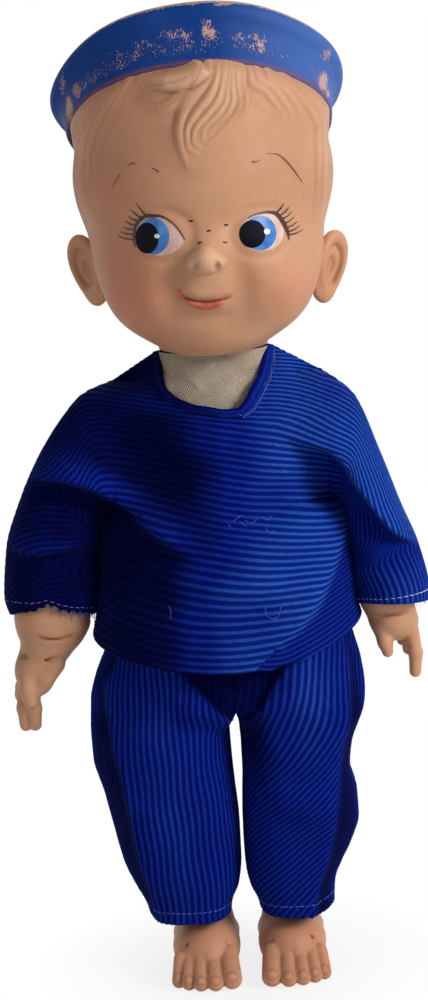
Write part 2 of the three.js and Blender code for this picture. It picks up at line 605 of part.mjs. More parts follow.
// Over the shoulders the shirt lies on the body.
const SHOULDER_RINGS = TORSO_RINGS.slice(5, 9);
const shirtRings = (grow) => [
  ...refined(grownRings(SHIRT_RINGS, grow, 0)),
  ...grownRings(SHOULDER_RINGS, CLOTH + REST_GAP + grow, CLOTH + REST_GAP + grow).map((r, i) =>
    i === 0 ? { ...r, halfWidth: r.halfWidth + 2 * ARMHOLE_OUTSIDE_SEAT } : r,
  ),
];

// The neckline: a round hole for the neck that dips at the front.
const THROAT = NECK_RADIUS + SEAT_GAP + LINEN + REST_GAP;
const SCOOP_RISE = 3; // the dip's widest level above the seat under the head
function neckScoop(inset) {
  const scoop = new THREE.SphereGeometry(1, 24, 14).rotateX(Math.PI / 2);
  scoop.scale(THROAT + 1 - inset, 2 * THROAT, NECKLINE_DROP + SCOOP_RISE - inset);
  return solidOf(scoop.translate(0, -THROAT, NECK_SEAT_Z + SCOOP_RISE));
}

const armhole = (side) => barX(ARMHOLE_RADIUS, side * ARMHOLE_X, side * FAR, SHOULDER_Z, 28);

function shirtBody() {
  const sides = BODY_SIDES;
  const outside = loft(shirtRings(0).map((r) => folded(oval(r, sides), SHIRT_FOLDS)));
  const inner = shirtRings(-CLOTH);
  inner[0].z -= 1;
  const inside = loft(inner.map((r) => folded(oval(r, sides), SHIRT_FOLDS)));
  const neck = postZ(THROAT, SHOULDER_Z, NECK_SEAT_Z + 1, 28);
  const shell = outside.subtract(inside).subtract(neckScoop(0)).subtract(neck);
  return shell.subtract(armhole(1)).subtract(armhole(-1));
}

// Where a sleeve's rings stand: under the arm, over the arm and how deep they are.
const OVER_CUFF_X = HAND_X + 6.5;
const UNDER_CUFF_X = SHIRT_SIDE + 3.5;
const station = (under, over, deep) => ({ under, over, deep });
const SLEEVE_X = ARMHOLE_X + SEAT_GAP;
const SLEEVE_STATIONS = [
  station([SLEEVE_X, CHEST_Z + 1.6], [SLEEVE_X, SHOULDER_Z + 14], SLEEVE_HALF_DEPTH),
  station([SHIRT_SIDE - 1.2, CHEST_Z + 1.6], [ARMHOLE_X + 9.5, SHOULDER_Z + 10], SLEEVE_HALF_DEPTH),
  station([SHIRT_SIDE + 0.7, CHEST_Z - 1], [ARMHOLE_X + 19.5, SHOULDER_Z - 6], SLEEVE_HALF_DEPTH - 1),
  station([SHIRT_SIDE + 1, CHEST_Z - 11], [ARMHOLE_X + 26.5, SHOULDER_Z - 23], SLEEVE_HALF_DEPTH - 2.5),
  station([SHIRT_SIDE + 2, CHEST_Z - 21], [OVER_CUFF_X - 3, SHOULDER_Z - 39], CUFF_HALF_DEPTH + 1),
  station([UNDER_CUFF_X - 0.5, CUFF_Z + 1.5], [OVER_CUFF_X - 0.5, CUFF_Z + 5], CUFF_HALF_DEPTH),
  station([UNDER_CUFF_X, CUFF_Z - 1], [OVER_CUFF_X, CUFF_Z + 1.5], CUFF_HALF_DEPTH),
];
const SLEEVE_FOLDS = [
  fold(2.6, 5, [36, SHOULDER_Z - 10], [44, CHEST_Z + 3], [52, CHEST_Z - 10], [60, CHEST_Z - 16]),
  fold(1.6, 5, [62, CHEST_Z + 2], [47, CUFF_Z + 10]),
];

// A station moved inwards on all sides by the cloth's thickness.
function insetStation({ under, over, deep }, inset) {
  const [dx, dz] = [over[0] - under[0], over[1] - under[1]];
  const share = inset / Math.hypot(dx, dz);
  const towards = (p, sign) => [p[0] + sign * share * dx, p[1] + sign * share * dz];
  return { under: towards(under, 1), over: towards(over, -1), deep: deep - inset };
}

function sleeveSolid() {
  const sides = 18;
  const hoops = (stations) => stations.map((s) => hoop(s.under, s.over, s.deep, sides));
  const outside = loft(hoops(SLEEVE_STATIONS).map((ring) => folded(ring, SLEEVE_FOLDS)));
  const inner = SLEEVE_STATIONS.map((s) => insetStation(s, CLOTH));
  const [first, last] = [inner[0], inner[inner.length - 1]];
  first.under[0] -= 1;
  first.over[0] -= 1;
  last.under[1] -= 1;
  last.over[1] -= 1;
  return outside.subtract(loft(hoops(inner)));
}

// The linen dickey: a band round the front of the neck that fills the neckline.
function dickeySolid() {
  const rings = (grow) => [
    { z: SHOULDER_Z + 8, halfWidth: NECK_RADIUS + 5 + grow, front: TORSO_HALF_DEPTH - 5.5 + grow },
    { z: SHOULDER_Z + 13, halfWidth: NECK_RADIUS + 4 + grow, front: TORSO_HALF_DEPTH - 7 + grow },
    { z: SHOULDER_Z + 16.5, halfWidth: NECK_RADIUS + 3 + grow, front: TORSO_HALF_DEPTH - 8 + grow },
    { z: SHOULDER_Z + 19.4, halfWidth: NECK_RADIUS + grow, front: NECK_RADIUS + grow },
    { z: NECK_SEAT_Z - SEAT_GAP, halfWidth: NECK_RADIUS + grow, front: NECK_RADIUS + grow },
  ];
  const outside = loft(rings(SEAT_GAP + LINEN).map((r) => oval(r, BODY_SIDES)));
  const body = loft(grownRings(TORSO_RINGS, SEAT_GAP, SEAT_GAP).map((r) => oval(r, BODY_SIDES)));
  const column = postZ(NECK_RADIUS + SEAT_GAP, SHOULDER_Z, NECK_SEAT_Z + 1);
  const behind = block([-FAR, 2, -FAR], [FAR, FAR, FAR]);
  return outside.intersect(neckScoop(REST_GAP)).subtract(body).subtract(column).subtract(behind);
}

// The placket strip behind the opening, and the two halves of each snap between it and the back.
const BACK_AT = (z) => {
  const rings = shirtRings(-CLOTH);
  const above = rings.findIndex((r) => r.z > z);
  const [low, high] = [rings[above - 1], rings[above]];
  return THREE.MathUtils.mapLinear(z, low.z, high.z, low.back, high.back);
};
const SNAP_SLOPE_ROOM = 0.6; // the back slopes behind a flat snap
const SNAP_STACK = 2 * SNAP_DEPTH + 3 * SEAT_GAP + SNAP_SLOPE_ROOM;
const SNAP_HEIGHTS = [SHOULDER_Z - 8, CHEST_Z - 8];
const PLACKET_ENDS = [CHEST_Z - 18, SHOULDER_Z - 3];

function placketSolid() {
  const levels = [PLACKET_ENDS[0], CHEST_Z - 4, SHOULDER_Z - 12, PLACKET_ENDS[1]];
  const ringAt = (z) => {
    const [half, outer] = [PLACKET_WIDTH / 2, BACK_AT(z) - SNAP_STACK];
    return [at(-half, outer - LINEN, z), at(half, outer - LINEN, z), at(half, outer, z), at(-half, outer, z)];
  };
  return loft(levels.map(ringAt));
}

// A snap half: a round plate that lies square to Y, its outer face at y.
function snapPlate(y, z, hole) {
  const plate = new THREE.CylinderGeometry(SNAP_RADIUS, SNAP_RADIUS, SNAP_DEPTH, 14);
  const solid = solidOf(plate.translate(0, y - SNAP_DEPTH / 2, z));
  if (!hole) return solid;
  const bore = new THREE.CylinderGeometry(SNAP_RADIUS / 3, SNAP_RADIUS / 3, 2 * SNAP_DEPTH, 8);
  return solid.subtract(solidOf(bore.translate(0, y - SNAP_DEPTH / 2, z)));
}

// Trousers: two seat pieces sewn at the middle, two legs and an elastic in the waist

const WAIST_RING = {
  halfWidth: HIP_HALF_WIDTH + SEAT_GAP + ELASTIC_THICKNESS + SEAT_GAP + CLOTH,
  front: TORSO_HALF_DEPTH + SEAT_GAP + ELASTIC_THICKNESS + SEAT_GAP + CLOTH,
};
const TROUSER_SIDE = HIP_HALF_WIDTH + TROUSER_EASE;
const UNDER_SHIRT = SHIRT_SIDE + SHIRT_HEM_FLARE - CLOTH - 2 * SEAT_GAP;
const SEAT_RINGS = [
  { z: HIP_Z - 17, halfWidth: TROUSER_SIDE - 3.5, front: TROUSER_HALF_DEPTH - 3 },
  { z: HIP_Z - 10, halfWidth: TROUSER_SIDE, front: TROUSER_HALF_DEPTH },
  { z: HIP_Z - 1, halfWidth: TROUSER_SIDE - 0.5, front: TROUSER_HALF_DEPTH + 1 },
  { z: SHIRT_HEM_Z + 1, halfWidth: Math.min(TROUSER_SIDE, UNDER_SHIRT) - 1, front: TROUSER_HALF_DEPTH },
  { z: HIP_Z + 15, ...WAIST_RING, halfWidth: WAIST_RING.halfWidth + 2, front: WAIST_RING.front + 1.6 },
  { z: WAIST_Z - ELASTIC_HEIGHT - 1, ...WAIST_RING },
  { z: WAIST_Z, ...WAIST_RING },
];
const legRing = (z, inner, outer, halfDepth) => ({
  z,
  x: (inner + outer) / 2,
  halfWidth: (outer - inner) / 2,
  front: halfDepth,
  square: 2.3,
});
const HEM_OUTER = FOOT_SPACING + FOOT_HALF_WIDTH + 5.5;
const TROUSER_INNER = TROUSER_GAP / 2;
const alongShin = (share) => THREE.MathUtils.lerp(HEM_ABOVE_FLOOR, KNEE_Z, share);
const TROUSER_LEG_RINGS = [
  legRing(HEM_ABOVE_FLOOR, TROUSER_INNER + 1.6, HEM_OUTER, HEM_HALF_DEPTH),
  legRing(HEM_ABOVE_FLOOR + 4, TROUSER_INNER + 1.4, HEM_OUTER + 0.6, HEM_HALF_DEPTH),
  legRing(alongShin(0.35), TROUSER_INNER + 0.2, HEM_OUTER + 5, HEM_HALF_DEPTH + 2),
  legRing(alongShin(0.66), TROUSER_INNER + 0.4, TROUSER_SIDE - 4, HEM_HALF_DEPTH + 3.5),
  legRing(KNEE_Z, TROUSER_INNER + 1.2, TROUSER_SIDE - 1, TROUSER_HALF_DEPTH - 4),
  legRing(HIP_Z - 27, TROUSER_INNER + 1, TROUSER_SIDE + 1.5, TROUSER_HALF_DEPTH - 2.5),
  legRing(HIP_Z - 14, TROUSER_INNER + 0.2, TROUSER_SIDE + 0.5, TROUSER_HALF_DEPTH - 1.5),
  legRing(HIP_Z - 4, TROUSER_INNER + 4, TROUSER_SIDE - 8, TROUSER_HALF_DEPTH - 8),
];
const TROUSER_FOLDS = [
  fold(1.8, 5, [-22, HIP_Z + 4], [-12, HIP_Z - 1], [-6, HIP_Z - 7]),
  fold(1.8, 5, [26, HIP_Z + 4], [16, HIP_Z - 3], [9, HIP_Z - 13]),
  fold(2, 6, [-38, HIP_Z - 6], [-36, KNEE_Z + 10], [-33, KNEE_Z - 12], [-28, HEM_ABOVE_FLOOR + 8]),
  fold(2, 6, [35, HIP_Z - 8], [30, KNEE_Z], [26, KNEE_Z - 20], [22, HEM_ABOVE_FLOOR + 8]),
];

function trouserShell() {
  const half = (rings, folds) => loft(rings.map((r) => folded(oval(r, 18), folds)));
  const across = (rings) => rings.map((r) => ({ ...r, x: -r.x }));
  const outside = union(
    loft(SEAT_RINGS.map((r) => folded(oval(r, BODY_SIDES), TROUSER_FOLDS))),
    half(TROUSER_LEG_RINGS, TROUSER_FOLDS),
    half(across(TROUSER_LEG_RINGS), TROUSER_FOLDS),
  );
  const innerLeg = grownRings(TROUSER_LEG_RINGS, -CLOTH, 0);
  innerLeg[0].z -= 1;
  innerLeg[innerLeg.length - 1].z -= CLOTH;
  const innerSeat = grownRings(SEAT_RINGS, -CLOTH, 0);
  innerSeat[innerSeat.length - 1].z += 1;
  innerSeat[0].z += CLOTH;
  const inside = union(
    loft(innerSeat.map((r) => oval(r, BODY_SIDES))),
    half(innerLeg, []),
    half(across(innerLeg), []),
  );
  return outside.subtract(inside);
}

function elasticSolid() {
  const ring = (grow, z) => {
    const room = SEAT_GAP + grow;
    return oval({ z, halfWidth: HIP_HALF_WIDTH + room, front: TORSO_HALF_DEPTH + room }, BODY_SIDES);
  };
  const [low, high] = [WAIST_Z - ELASTIC_HEIGHT, WAIST_Z - 1];
  const band = loft([ring(ELASTIC_THICKNESS, low), ring(ELASTIC_THICKNESS, high)]);
  return band.subtract(loft([ring(0, low - 1), ring(0, high + 1)]));
}

// The doll, piece by piece

const doll = new THREE.Group();
const add = (name, solid, finish) => doll.add(meshOf(name, solid, finish));
const leftHalf = block([SEAT_GAP / 2, -FAR, -FAR], [FAR, FAR, FAR]);
const rightHalf = mirrored(leftHalf);

add("head", headSolid(), SKIN);
add("torso", torsoSolid(), SKIN);
add("left_arm", armSolid(20), SKIN);
add("right_arm", mirrored(armSolid(75)), SKIN);
const leg = legSolid();
add("left_leg", leg, SKIN);
add("right_leg", mirrored(leg), SKIN);

const shirt = shirtBody();
const frontHalf = block([-FAR, -FAR, -FAR], [FAR, -SEAT_GAP / 2, FAR]);
const backHalf = block([-FAR, SEAT_GAP / 2, -FAR], [FAR, FAR, FAR]);
add("shirt_front", shirt.intersect(frontHalf), CORDUROY);
const shirtBack = shirt.intersect(backHalf);
add("shirt_back_left", shirtBack.intersect(leftHalf), CORDUROY);
add("shirt_back_right", shirtBack.intersect(rightHalf), CORDUROY);
const sleeve = sleeveSolid();
add("left_sleeve", sleeve, CORDUROY);
add("right_sleeve", mirrored(sleeve), CORDUROY);
add("neck_dickey", dickeySolid(), CREAM_LINEN);
add("back_placket", placketSolid(), CORDUROY);
SNAP_HEIGHTS.forEach((z, i) => {
  const place = ["upper", "lower"][i];
  const outer = BACK_AT(z + SNAP_RADIUS) - SEAT_GAP;
  add(`snap_stud_${place}`, snapPlate(outer, z, false), STEEL);
  add(`snap_socket_${place}`, snapPlate(outer - SNAP_DEPTH - SEAT_GAP, z, true), STEEL);
});

const trousers = trouserShell();
const hipRound = barX(TROUSER_SPLIT_RADIUS, -FAR, FAR, HIP_Z, 32);
const hipClear = barX(TROUSER_SPLIT_RADIUS + SEAT_GAP, -FAR, FAR, HIP_Z, 32);
const aboveHip = block([-FAR, -FAR, HIP_Z], [FAR, FAR, FAR]);
const aboveClear = block([-FAR, -FAR, HIP_Z - SEAT_GAP], [FAR, FAR, FAR]);
const trouserSeat = trousers.intersect(hipRound.add(aboveHip));
const trouserLegs = trousers.subtract(hipClear.add(aboveClear));
for (const [side, half] of [["left", leftHalf], ["right", rightHalf]]) {
  add(`trouser_seat_${side}`, trouserSeat.intersect(half), CORDUROY);
  add(`${side}_trouser_leg`, trouserLegs.intersect(half), CORDUROY);
}
add("waist_elastic", elasticSolid(), ELASTIC);

export default doll;
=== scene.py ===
# %% [markdown]
# # A vinyl baby doll in a corduroy sailor suit
# The doll stands on bare feet, about 310 mm tall. Its head, with a sailor cap moulded in one, its arms and
# its legs are soft vinyl. It wears a blue corduroy pullover with a linen dickey, and corduroy trousers. The
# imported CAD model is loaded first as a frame. Every piece below is placed in that frame, in millimetres, and
# is turned into metres only when its mesh is made.

# %% Load the frame
import math

import bpy
import numpy as np
from mathutils import Matrix, Vector
from mathutils.bvhtree import BVHTree


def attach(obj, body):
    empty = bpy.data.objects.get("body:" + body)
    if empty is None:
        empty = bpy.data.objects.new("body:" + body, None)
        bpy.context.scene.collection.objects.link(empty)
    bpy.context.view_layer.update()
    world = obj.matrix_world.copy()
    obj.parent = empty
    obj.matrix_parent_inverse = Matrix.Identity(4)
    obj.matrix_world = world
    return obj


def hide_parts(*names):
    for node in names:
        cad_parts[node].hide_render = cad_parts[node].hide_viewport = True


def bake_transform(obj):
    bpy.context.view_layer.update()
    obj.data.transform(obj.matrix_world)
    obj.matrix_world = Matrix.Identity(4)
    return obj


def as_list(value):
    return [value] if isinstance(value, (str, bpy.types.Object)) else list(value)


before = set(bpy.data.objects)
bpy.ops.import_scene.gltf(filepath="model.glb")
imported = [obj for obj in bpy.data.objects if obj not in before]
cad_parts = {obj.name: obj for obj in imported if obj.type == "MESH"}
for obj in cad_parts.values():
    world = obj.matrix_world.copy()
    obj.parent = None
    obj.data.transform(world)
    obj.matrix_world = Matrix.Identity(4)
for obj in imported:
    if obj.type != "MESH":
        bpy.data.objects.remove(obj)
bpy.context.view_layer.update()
scene = bpy.context.scene
scene.view_settings.view_transform = "Standard"
MM = 0.001

# %% [markdown]
# ## Camera
# The photograph looks slightly down at the doll and is turned a little, so that the doll leans to the left.
# The camera's place was found by lining up the solids with the picture. Its three axes are worked out here,
# because small features such as freckles are easiest to give as pixels of the photograph: a line of sight
# through the pixel finds their place.

# %% Camera
PHOTO_WIDTH, PHOTO_HEIGHT = 428, 1000
CAMERA_AT = np.array([-2.8, -850.0, 303.5])
AIM_Z = 154.5
CAMERA_ROLL = math.radians(3.5)
FOCAL_PIXELS = 2700
SENSOR_MM = 36

pitch = math.atan2(CAMERA_AT[2] - AIM_Z, -CAMERA_AT[1])
look = np.array([0, math.cos(pitch), -math.sin(pitch)])
level_right = np.array([1, 0, 0])
level_up = np.array([0, math.sin(pitch), math.cos(pitch)])
camera_right = level_right * math.cos(CAMERA_ROLL) - level_up * math.sin(CAMERA_ROLL)
camera_up = level_right * math.sin(CAMERA_ROLL) + level_up * math.cos(CAMERA_ROLL)

camera_data = bpy.data.cameras.new("photo_camera")
camera_data.sensor_width = SENSOR_MM
camera_data.lens = FOCAL_PIXELS / PHOTO_HEIGHT * SENSOR_MM
camera_data.clip_start = 0.01
camera = bpy.data.objects.new("photo_camera", camera_data)
camera_turn = Matrix(np.array([camera_right, camera_up, -look]).T).to_4x4()
camera.matrix_world = Matrix.Translation(CAMERA_AT * MM) @ camera_turn
scene.collection.objects.link(camera)
scene.camera = camera


def sight(pixels):
    """Directions from the camera through pixels of the photograph."""
    across, down = np.asarray(pixels, float).T
    return (look * FOCAL_PIXELS + np.outer(across - PHOTO_WIDTH / 2, camera_right)
            - np.outer(down - PHOTO_HEIGHT / 2, camera_up))


def at_depth(pixels, y):
    """The (x, z) places that pixels show, on the upright plane at depth y."""
    direction = sight(pixels)
    reach = (y - CAMERA_AT[1]) / direction[:, 1]
    return (CAMERA_AT + direction * reach[:, None])[:, [0, 2]]


print("camera: lens", round(camera_data.lens, 1), "mm, pitch", round(math.degrees(pitch), 1), "degrees")

# %% [markdown]
# ## Curves and meshes in numbers
# A few helpers are used by every piece: a soft step, a bell, a smooth curve through knots, the distance to a
# drawn line, and the making of a mesh from a grid of points. Grids are chosen for cloth and vinyl because
# each point's place can then be a formula, which keeps every fold and lock of hair editable.

# %% Number helpers


def ease(value, low, high):
    """0 below low, 1 above high, and a soft step between."""
    share = np.clip((value - low) / (high - low), 0, 1)
    return share * share * (3 - 2 * share)


def bell(distance, width):
    """1 at no distance, falling softly to 0 over about twice the width."""
    return np.exp(-(distance / width) ** 2)


def curve(place, knots):
    """A smooth curve through (place, value) knots that never overshoots them."""
    at, value = np.array(knots, float).T
    rate = np.diff(value) / np.diff(at)
    same_way = rate[1:] * rate[:-1] > 0
    both = np.where(same_way, rate[1:] + rate[:-1], 1)
    slope = np.r_[rate[0], np.where(same_way, 2 * rate[1:] * rate[:-1] / both, 0), rate[-1]]
    k = np.clip(np.searchsorted(at, place) - 1, 0, len(at) - 2)
    gap = at[k + 1] - at[k]
    t = np.clip((place - at[k]) / gap, 0, 1)
    rise = t * t * (3 - 2 * t)
    return (value[k] * (1 - rise) + value[k + 1] * rise
            + gap * t * (1 - t) * (slope[k] * (1 - t) - slope[k + 1] * t))


def smooth_line(points, count):
    """count points, evenly spaced on a smooth line through the given points."""
    points = np.asarray(points, float)
    run = np.r_[0, np.cumsum(np.linalg.norm(np.diff(points, axis=0), axis=1))]
    fine = np.linspace(0, run[-1], 12 * count)
    dense = np.stack([curve(fine, np.c_[run, column]) for column in points.T], 1)
    length = np.r_[0, np.cumsum(np.linalg.norm(np.diff(dense, axis=0), axis=1))]
    even = np.linspace(0, length[-1], count)
    return np.stack([np.interp(even, length, column) for column in dense.T], 1)


def to_line(x, z, line):
    """Distance to a line drawn left to right, 1 above it or -1 below it, and the share of it reached."""
    best = np.full(np.shape(x), 1e9)
    side = np.ones(np.shape(x))
    share = np.zeros(np.shape(x))
    for k, ((x0, z0), (x1, z1)) in enumerate(zip(line[:-1], line[1:])):
        dx, dz = x1 - x0, z1 - z0
        t = np.clip(((x - x0) * dx + (z - z0) * dz) / (dx * dx + dz * dz), 0, 1)
        distance = np.hypot(x - x0 - t * dx, z - z0 - t * dz)
        near = distance < best
        best = np.where(near, distance, best)
        side = np.where(near, np.where(dx * (z - z0) - dz * (x - x0) >= 0, 1, -1), side)
        share = np.where(near, (k + t) / (len(line) - 1), share)
    return best, side, share


# %% Mesh helpers


def grid_faces(rows, columns, closed=False):
    """Four-sided faces between the points of a grid; closed joins the last column to the first."""
    across = columns if closed else columns - 1
    row, column = np.meshgrid(np.arange(rows - 1), np.arange(across), indexing="ij")
    after = (column + 1) % columns
    here, above = row * columns, (row + 1) * columns
    corners = [here + column, here + after, above + after, above + column]
    return np.stack(corners, -1).reshape(-1, 4)


def grid_normals(points, outward):
    """Unit normals of a grid of points; outward is 1 or -1 and picks the side."""
    normal = np.cross(np.gradient(points, axis=1), np.gradient(points, axis=0)) * outward
    return normal / np.maximum(np.linalg.norm(normal, axis=-1, keepdims=True), 1e-9)


def renumber(used, size):
    """New numbers, one after the other, for the points that are used out of so many."""
    number = np.full(size, -1)
    number[used] = np.arange(len(used))
    return number


def make_piece(name, points, faces, finish, uv=None, marks=None):
    """A mesh object from points in mm, with an own UV map and point marks where the finish reads them."""
    mesh = bpy.data.meshes.new(name)
    places = (np.asarray(points).reshape(-1, 3) * MM).tolist()
    mesh.from_pydata(places, [], [list(map(int, face)) for face in faces])
    if uv is not None:
        corner = np.empty(len(mesh.loops), int)
        mesh.loops.foreach_get("vertex_index", corner)
        mesh.uv_layers.new(name="cloth").data.foreach_set("uv", np.asarray(uv).reshape(-1, 2)[corner].ravel())
    for mark, values in (marks or {}).items():
        mesh.attributes.new(mark, "FLOAT", "POINT").data.foreach_set("value", np.ravel(values))
    mesh.shade_smooth()
    mesh.materials.append(finish)
    piece = bpy.data.objects.new(name, mesh)
    scene.collection.objects.link(piece)
    print(name + ":", len(mesh.vertices), "points,", len(mesh.polygons), "faces")
    return piece


# %% [markdown]
# ## Floor and light
# A plain pale floor, one large soft lamp from the viewer's right, a weaker one from the left and an even sky.
# The photograph is brighter on its right, so the right lamp is the strong one. Light Path shows a white
# background to the camera without adding light to the doll.

# %% Shader wires


class Wire:
    """A node socket that takes part in Python arithmetic; each operator adds one Math node."""

    def __init__(self, tree, socket=None):
        self.tree, self.socket = tree, socket

    def plug(self, target, value):
        if isinstance(value, Wire):
            self.tree.links.new(value.socket, target)
        else:
            target.default_value = value

    def node(self, kind, settings=None, sockets=None, out=0):
        made = self.tree.nodes.new("ShaderNode" + kind)
        for name, value in (settings or {}).items():
            setattr(made, name, value)
        for name, value in (sockets or {}).items():
            self.plug(made.inputs[name], value)
        return Wire(self.tree, made.outputs[out])

    def math(self, operation, *values):
        return self.node("Math", {"operation": operation}, dict(enumerate(values)))

    def mix(self, share, first, second):
        return self.node("Mix", {"data_type": "RGBA"}, {0: share, 6: first, 7: second}, 2)

    def step(self, low, high):
        ends = {0: self, 1: low, 2: high, 3: 0.0, 4: 1.0}
        return self.node("MapRange", {"interpolation_type": "SMOOTHSTEP"}, ends)

    def noise(self, place, scale, detail=3.0, rough=0.55):
        sizes = {"Vector": place, "Scale": scale, "Detail": detail, "Roughness": rough}
        return self.node("TexNoise", None, sizes)

    def bump(self, height, distance, strength=1.0):
        return self.node("Bump", None, {"Height": height, "Distance": distance, "Strength": strength})

    def place(self):
        return self.node("TexCoord", None, None, "Object")

    def mark(self, name):
        return self.node("Attribute", {"attribute_name": name}, None, "Fac")

    def __add__(self, other):
        return self.math("ADD", self, other)

    def __sub__(self, other):
        return self.math("SUBTRACT", self, other)

    def __rsub__(self, other):
        return self.math("SUBTRACT", other, self)

    def __mul__(self, other):
        return self.math("MULTIPLY", self, other)

    __radd__, __rmul__ = __add__, __mul__


def tint(red, green, blue):
    """A colour as it looks on a screen, 0 to 255, as the linear colour that a shader takes."""
    channel = [c / 255 for c in (red, green, blue)]
    return tuple(c / 12.92 if c <= 0.04045 else ((c + 0.055) / 1.055) ** 2.4 for c in channel) + (1.0,)


def make_finish(name, recipe):
    """A material whose recipe gives the values or wires of its shader's sockets."""
    finish = bpy.data.materials.new(name)
    finish.use_nodes = True
    wire = Wire(finish.node_tree)
    shader = finish.node_tree.nodes["Principled BSDF"]
    for socket, value in recipe(wire).items():
        wire.plug(shader.inputs[socket], value)
    print("finish", name + ":", len(finish.node_tree.nodes), "nodes")
    return finish


# %% Floor, lamps and sky
FLOOR_HALF = 4.0
FLOOR_COLOUR = (0.88, 0.88, 0.87, 1.0)
FLOOR_WHITE_FROM, FLOOR_WHITE_AT, FLOOR_WHITE_LEAST = 0.02, 0.08, 0.82
SKY_LIGHT = 0.24


def floor_recipe(wire):
    speckle = wire.noise(wire.place(), 40.0)
    return {"Base Color": wire.mix(speckle * 0.06, FLOOR_COLOUR, (0.8, 0.8, 0.79, 1.0)), "Roughness": 0.9}


def shown_to(wire):
    """1 for rays from the camera, and for rays that metal or glass sends on; 0 for light on the doll."""
    kinds = ("Camera", "Glossy", "Transmission")
    rays = [wire.node("LightPath", None, None, "Is " + kind + " Ray") for kind in kinds]
    return wire.math("MAXIMUM", wire.math("MAXIMUM", rays[0], rays[1]), rays[2])


floor_finish = make_finish("pale_floor", floor_recipe)
floor_nodes = floor_finish.node_tree.nodes
floor_wire = Wire(floor_finish.node_tree)
off_middle = floor_wire.node("VectorMath", {"operation": "LENGTH"}, {0: floor_wire.place()}, "Value")
far = off_middle.step(FLOOR_WHITE_FROM, FLOOR_WHITE_AT)
white = floor_wire.node("Emission", None, {"Color": (1, 1, 1, 1), "Strength": 1.0})
pale = Wire(floor_finish.node_tree, floor_nodes["Principled BSDF"].outputs[0])
whiteness = shown_to(floor_wire) * (far * (1 - FLOOR_WHITE_LEAST) + FLOOR_WHITE_LEAST)
floor_look = floor_wire.node("MixShader", None, {0: whiteness, 1: pale, 2: white})
floor_wire.plug(floor_nodes["Material Output"].inputs["Surface"], floor_look)

floor_mesh = bpy.data.meshes.new("floor")
floor_corners = [(x * FLOOR_HALF, y * FLOOR_HALF, 0) for x, y in ((-1, -1), (1, -1), (1, 1), (-1, 1))]
floor_mesh.from_pydata(floor_corners, [], [(0, 1, 2, 3)])
floor_mesh.materials.append(floor_finish)
floor = bpy.data.objects.new("floor", floor_mesh)
scene.collection.objects.link(floor)

LAMPS = [  # name, place, width and watts
    ("lamp_right", (0.85, -0.62, 0.66), 0.42, 9.6),
    ("lamp_left", (-0.6, -0.9, 0.5), 0.6, 0.9),
    ("lamp_behind", (0.2, 0.8, 0.9), 0.6, 2.5),
]
LAMP_AIM = Vector((0, 0, 0.17))
for name, at, width, watts in LAMPS:
    lamp_data = bpy.data.lights.new(name, "AREA")
    lamp_data.size, lamp_data.energy = width, watts
    lamp = bpy.data.objects.new(name, lamp_data)
    lamp.location = at
    lamp.rotation_euler = (LAMP_AIM - Vector(at)).to_track_quat("-Z", "Y").to_euler()
    scene.collection.objects.link(lamp)

sky = bpy.data.worlds.new("studio")
sky.use_nodes = True
scene.world = sky
sky_wire = Wire(sky.node_tree)
background = sky.node_tree.nodes["Background"]
sky_wire.plug(background.inputs["Strength"], shown_to(sky_wire) * (1 - SKY_LIGHT) + SKY_LIGHT)
background.inputs["Color"].default_value = (1, 1, 1, 1)
print("light:", len(LAMPS), "lamps and a sky of", SKY_LIGHT)

# %% [markdown]
# ## Finishes
# Vinyl is a warm flesh colour with faint mottling and a blush on the cheeks. Its grooves, creases and hollows,
# and the side of the head away from the strong lamp, get a painted shade, with some dirt, and raised parts a
# painted
# highlight. Corduroy is a pile cloth: its ribs, called wales, are real ridges in the mesh, and the finish
# darkens the grooves between them, with the pile's pattern and a painted shade, and adds the fuzz. A mark
# paints the light and shade of the folds and of the lit side into its colour. Its UV map is in millimetres,
# along and across the wales, so the pattern follows every fold.

# %% Vinyl
FLESH = tint(204, 153, 119)
FLESH_DEEP = tint(180, 122, 90)
BLUSH_AND_SHADE = tint(208, 124, 100)
GRIME_AND_SHADE = tint(120, 66, 44)
FLESH_HIGHLIGHT = tint(228, 186, 153)


def vinyl_recipe(wire):
    place = wire.place()
    mottle = wire.noise(place, 45.0, 4.0)
    stain_and_shade = wire.noise(place, 160.0, 5.0).step(0.6, 0.78)
    shade_and_dirt, blush_and_shade = wire.mark("shade_and_dirt"), wire.mark("blush_and_shade")
    colour = wire.mix(mottle.step(0.35, 0.75) * 0.45, FLESH, FLESH_DEEP)
    pale = wire.mark("pale")
    # the blush mark is the cheeks' blush, and on the head also a painted shade on the side away from the
    # strong lamp
    colour = wire.mix(blush_and_shade * 0.3, colour, BLUSH_AND_SHADE)
    # the pale mark is a painted highlight on the nose and on the crests of the hair
    colour = wire.mix(pale * 0.55, colour, FLESH_HIGHLIGHT)
    colour = wire.mix(stain_and_shade * 0.22, colour, GRIME_AND_SHADE)
    # the groove mark is a painted shade in grooves, creases and hollows and under the cap, and a few darker
    # spots on the hands
    colour = wire.mix(shade_and_dirt * 0.6, colour, GRIME_AND_SHADE)
    skin = wire.noise(place, 900.0, 3.0)
    return {"Base Color": colour, "Roughness": mottle * 0.16 + 0.42, "Subsurface Weight": 0.2,
            "Subsurface Radius": (0.004, 0.0018, 0.001), "Subsurface Scale": 1.0, "Specular IOR Level": 0.24,
            "Normal": wire.bump(skin, 0.00006, 0.5)}


vinyl = make_finish("flesh_vinyl", vinyl_recipe)

# %% Corduroy
WALE_PITCH = 2.1
# valleys and crests of the wales, each in a shaded, a middle and a lit copy, picked by the painted light mark
VALLEY_SHADED, VALLEY, VALLEY_LIT = tint(0, 1, 50), tint(2, 12, 98), tint(7, 33, 126)
CREST_SHADED, CREST, CREST_LIT = tint(1, 6, 70), tint(11, 42, 142), tint(42, 88, 176)


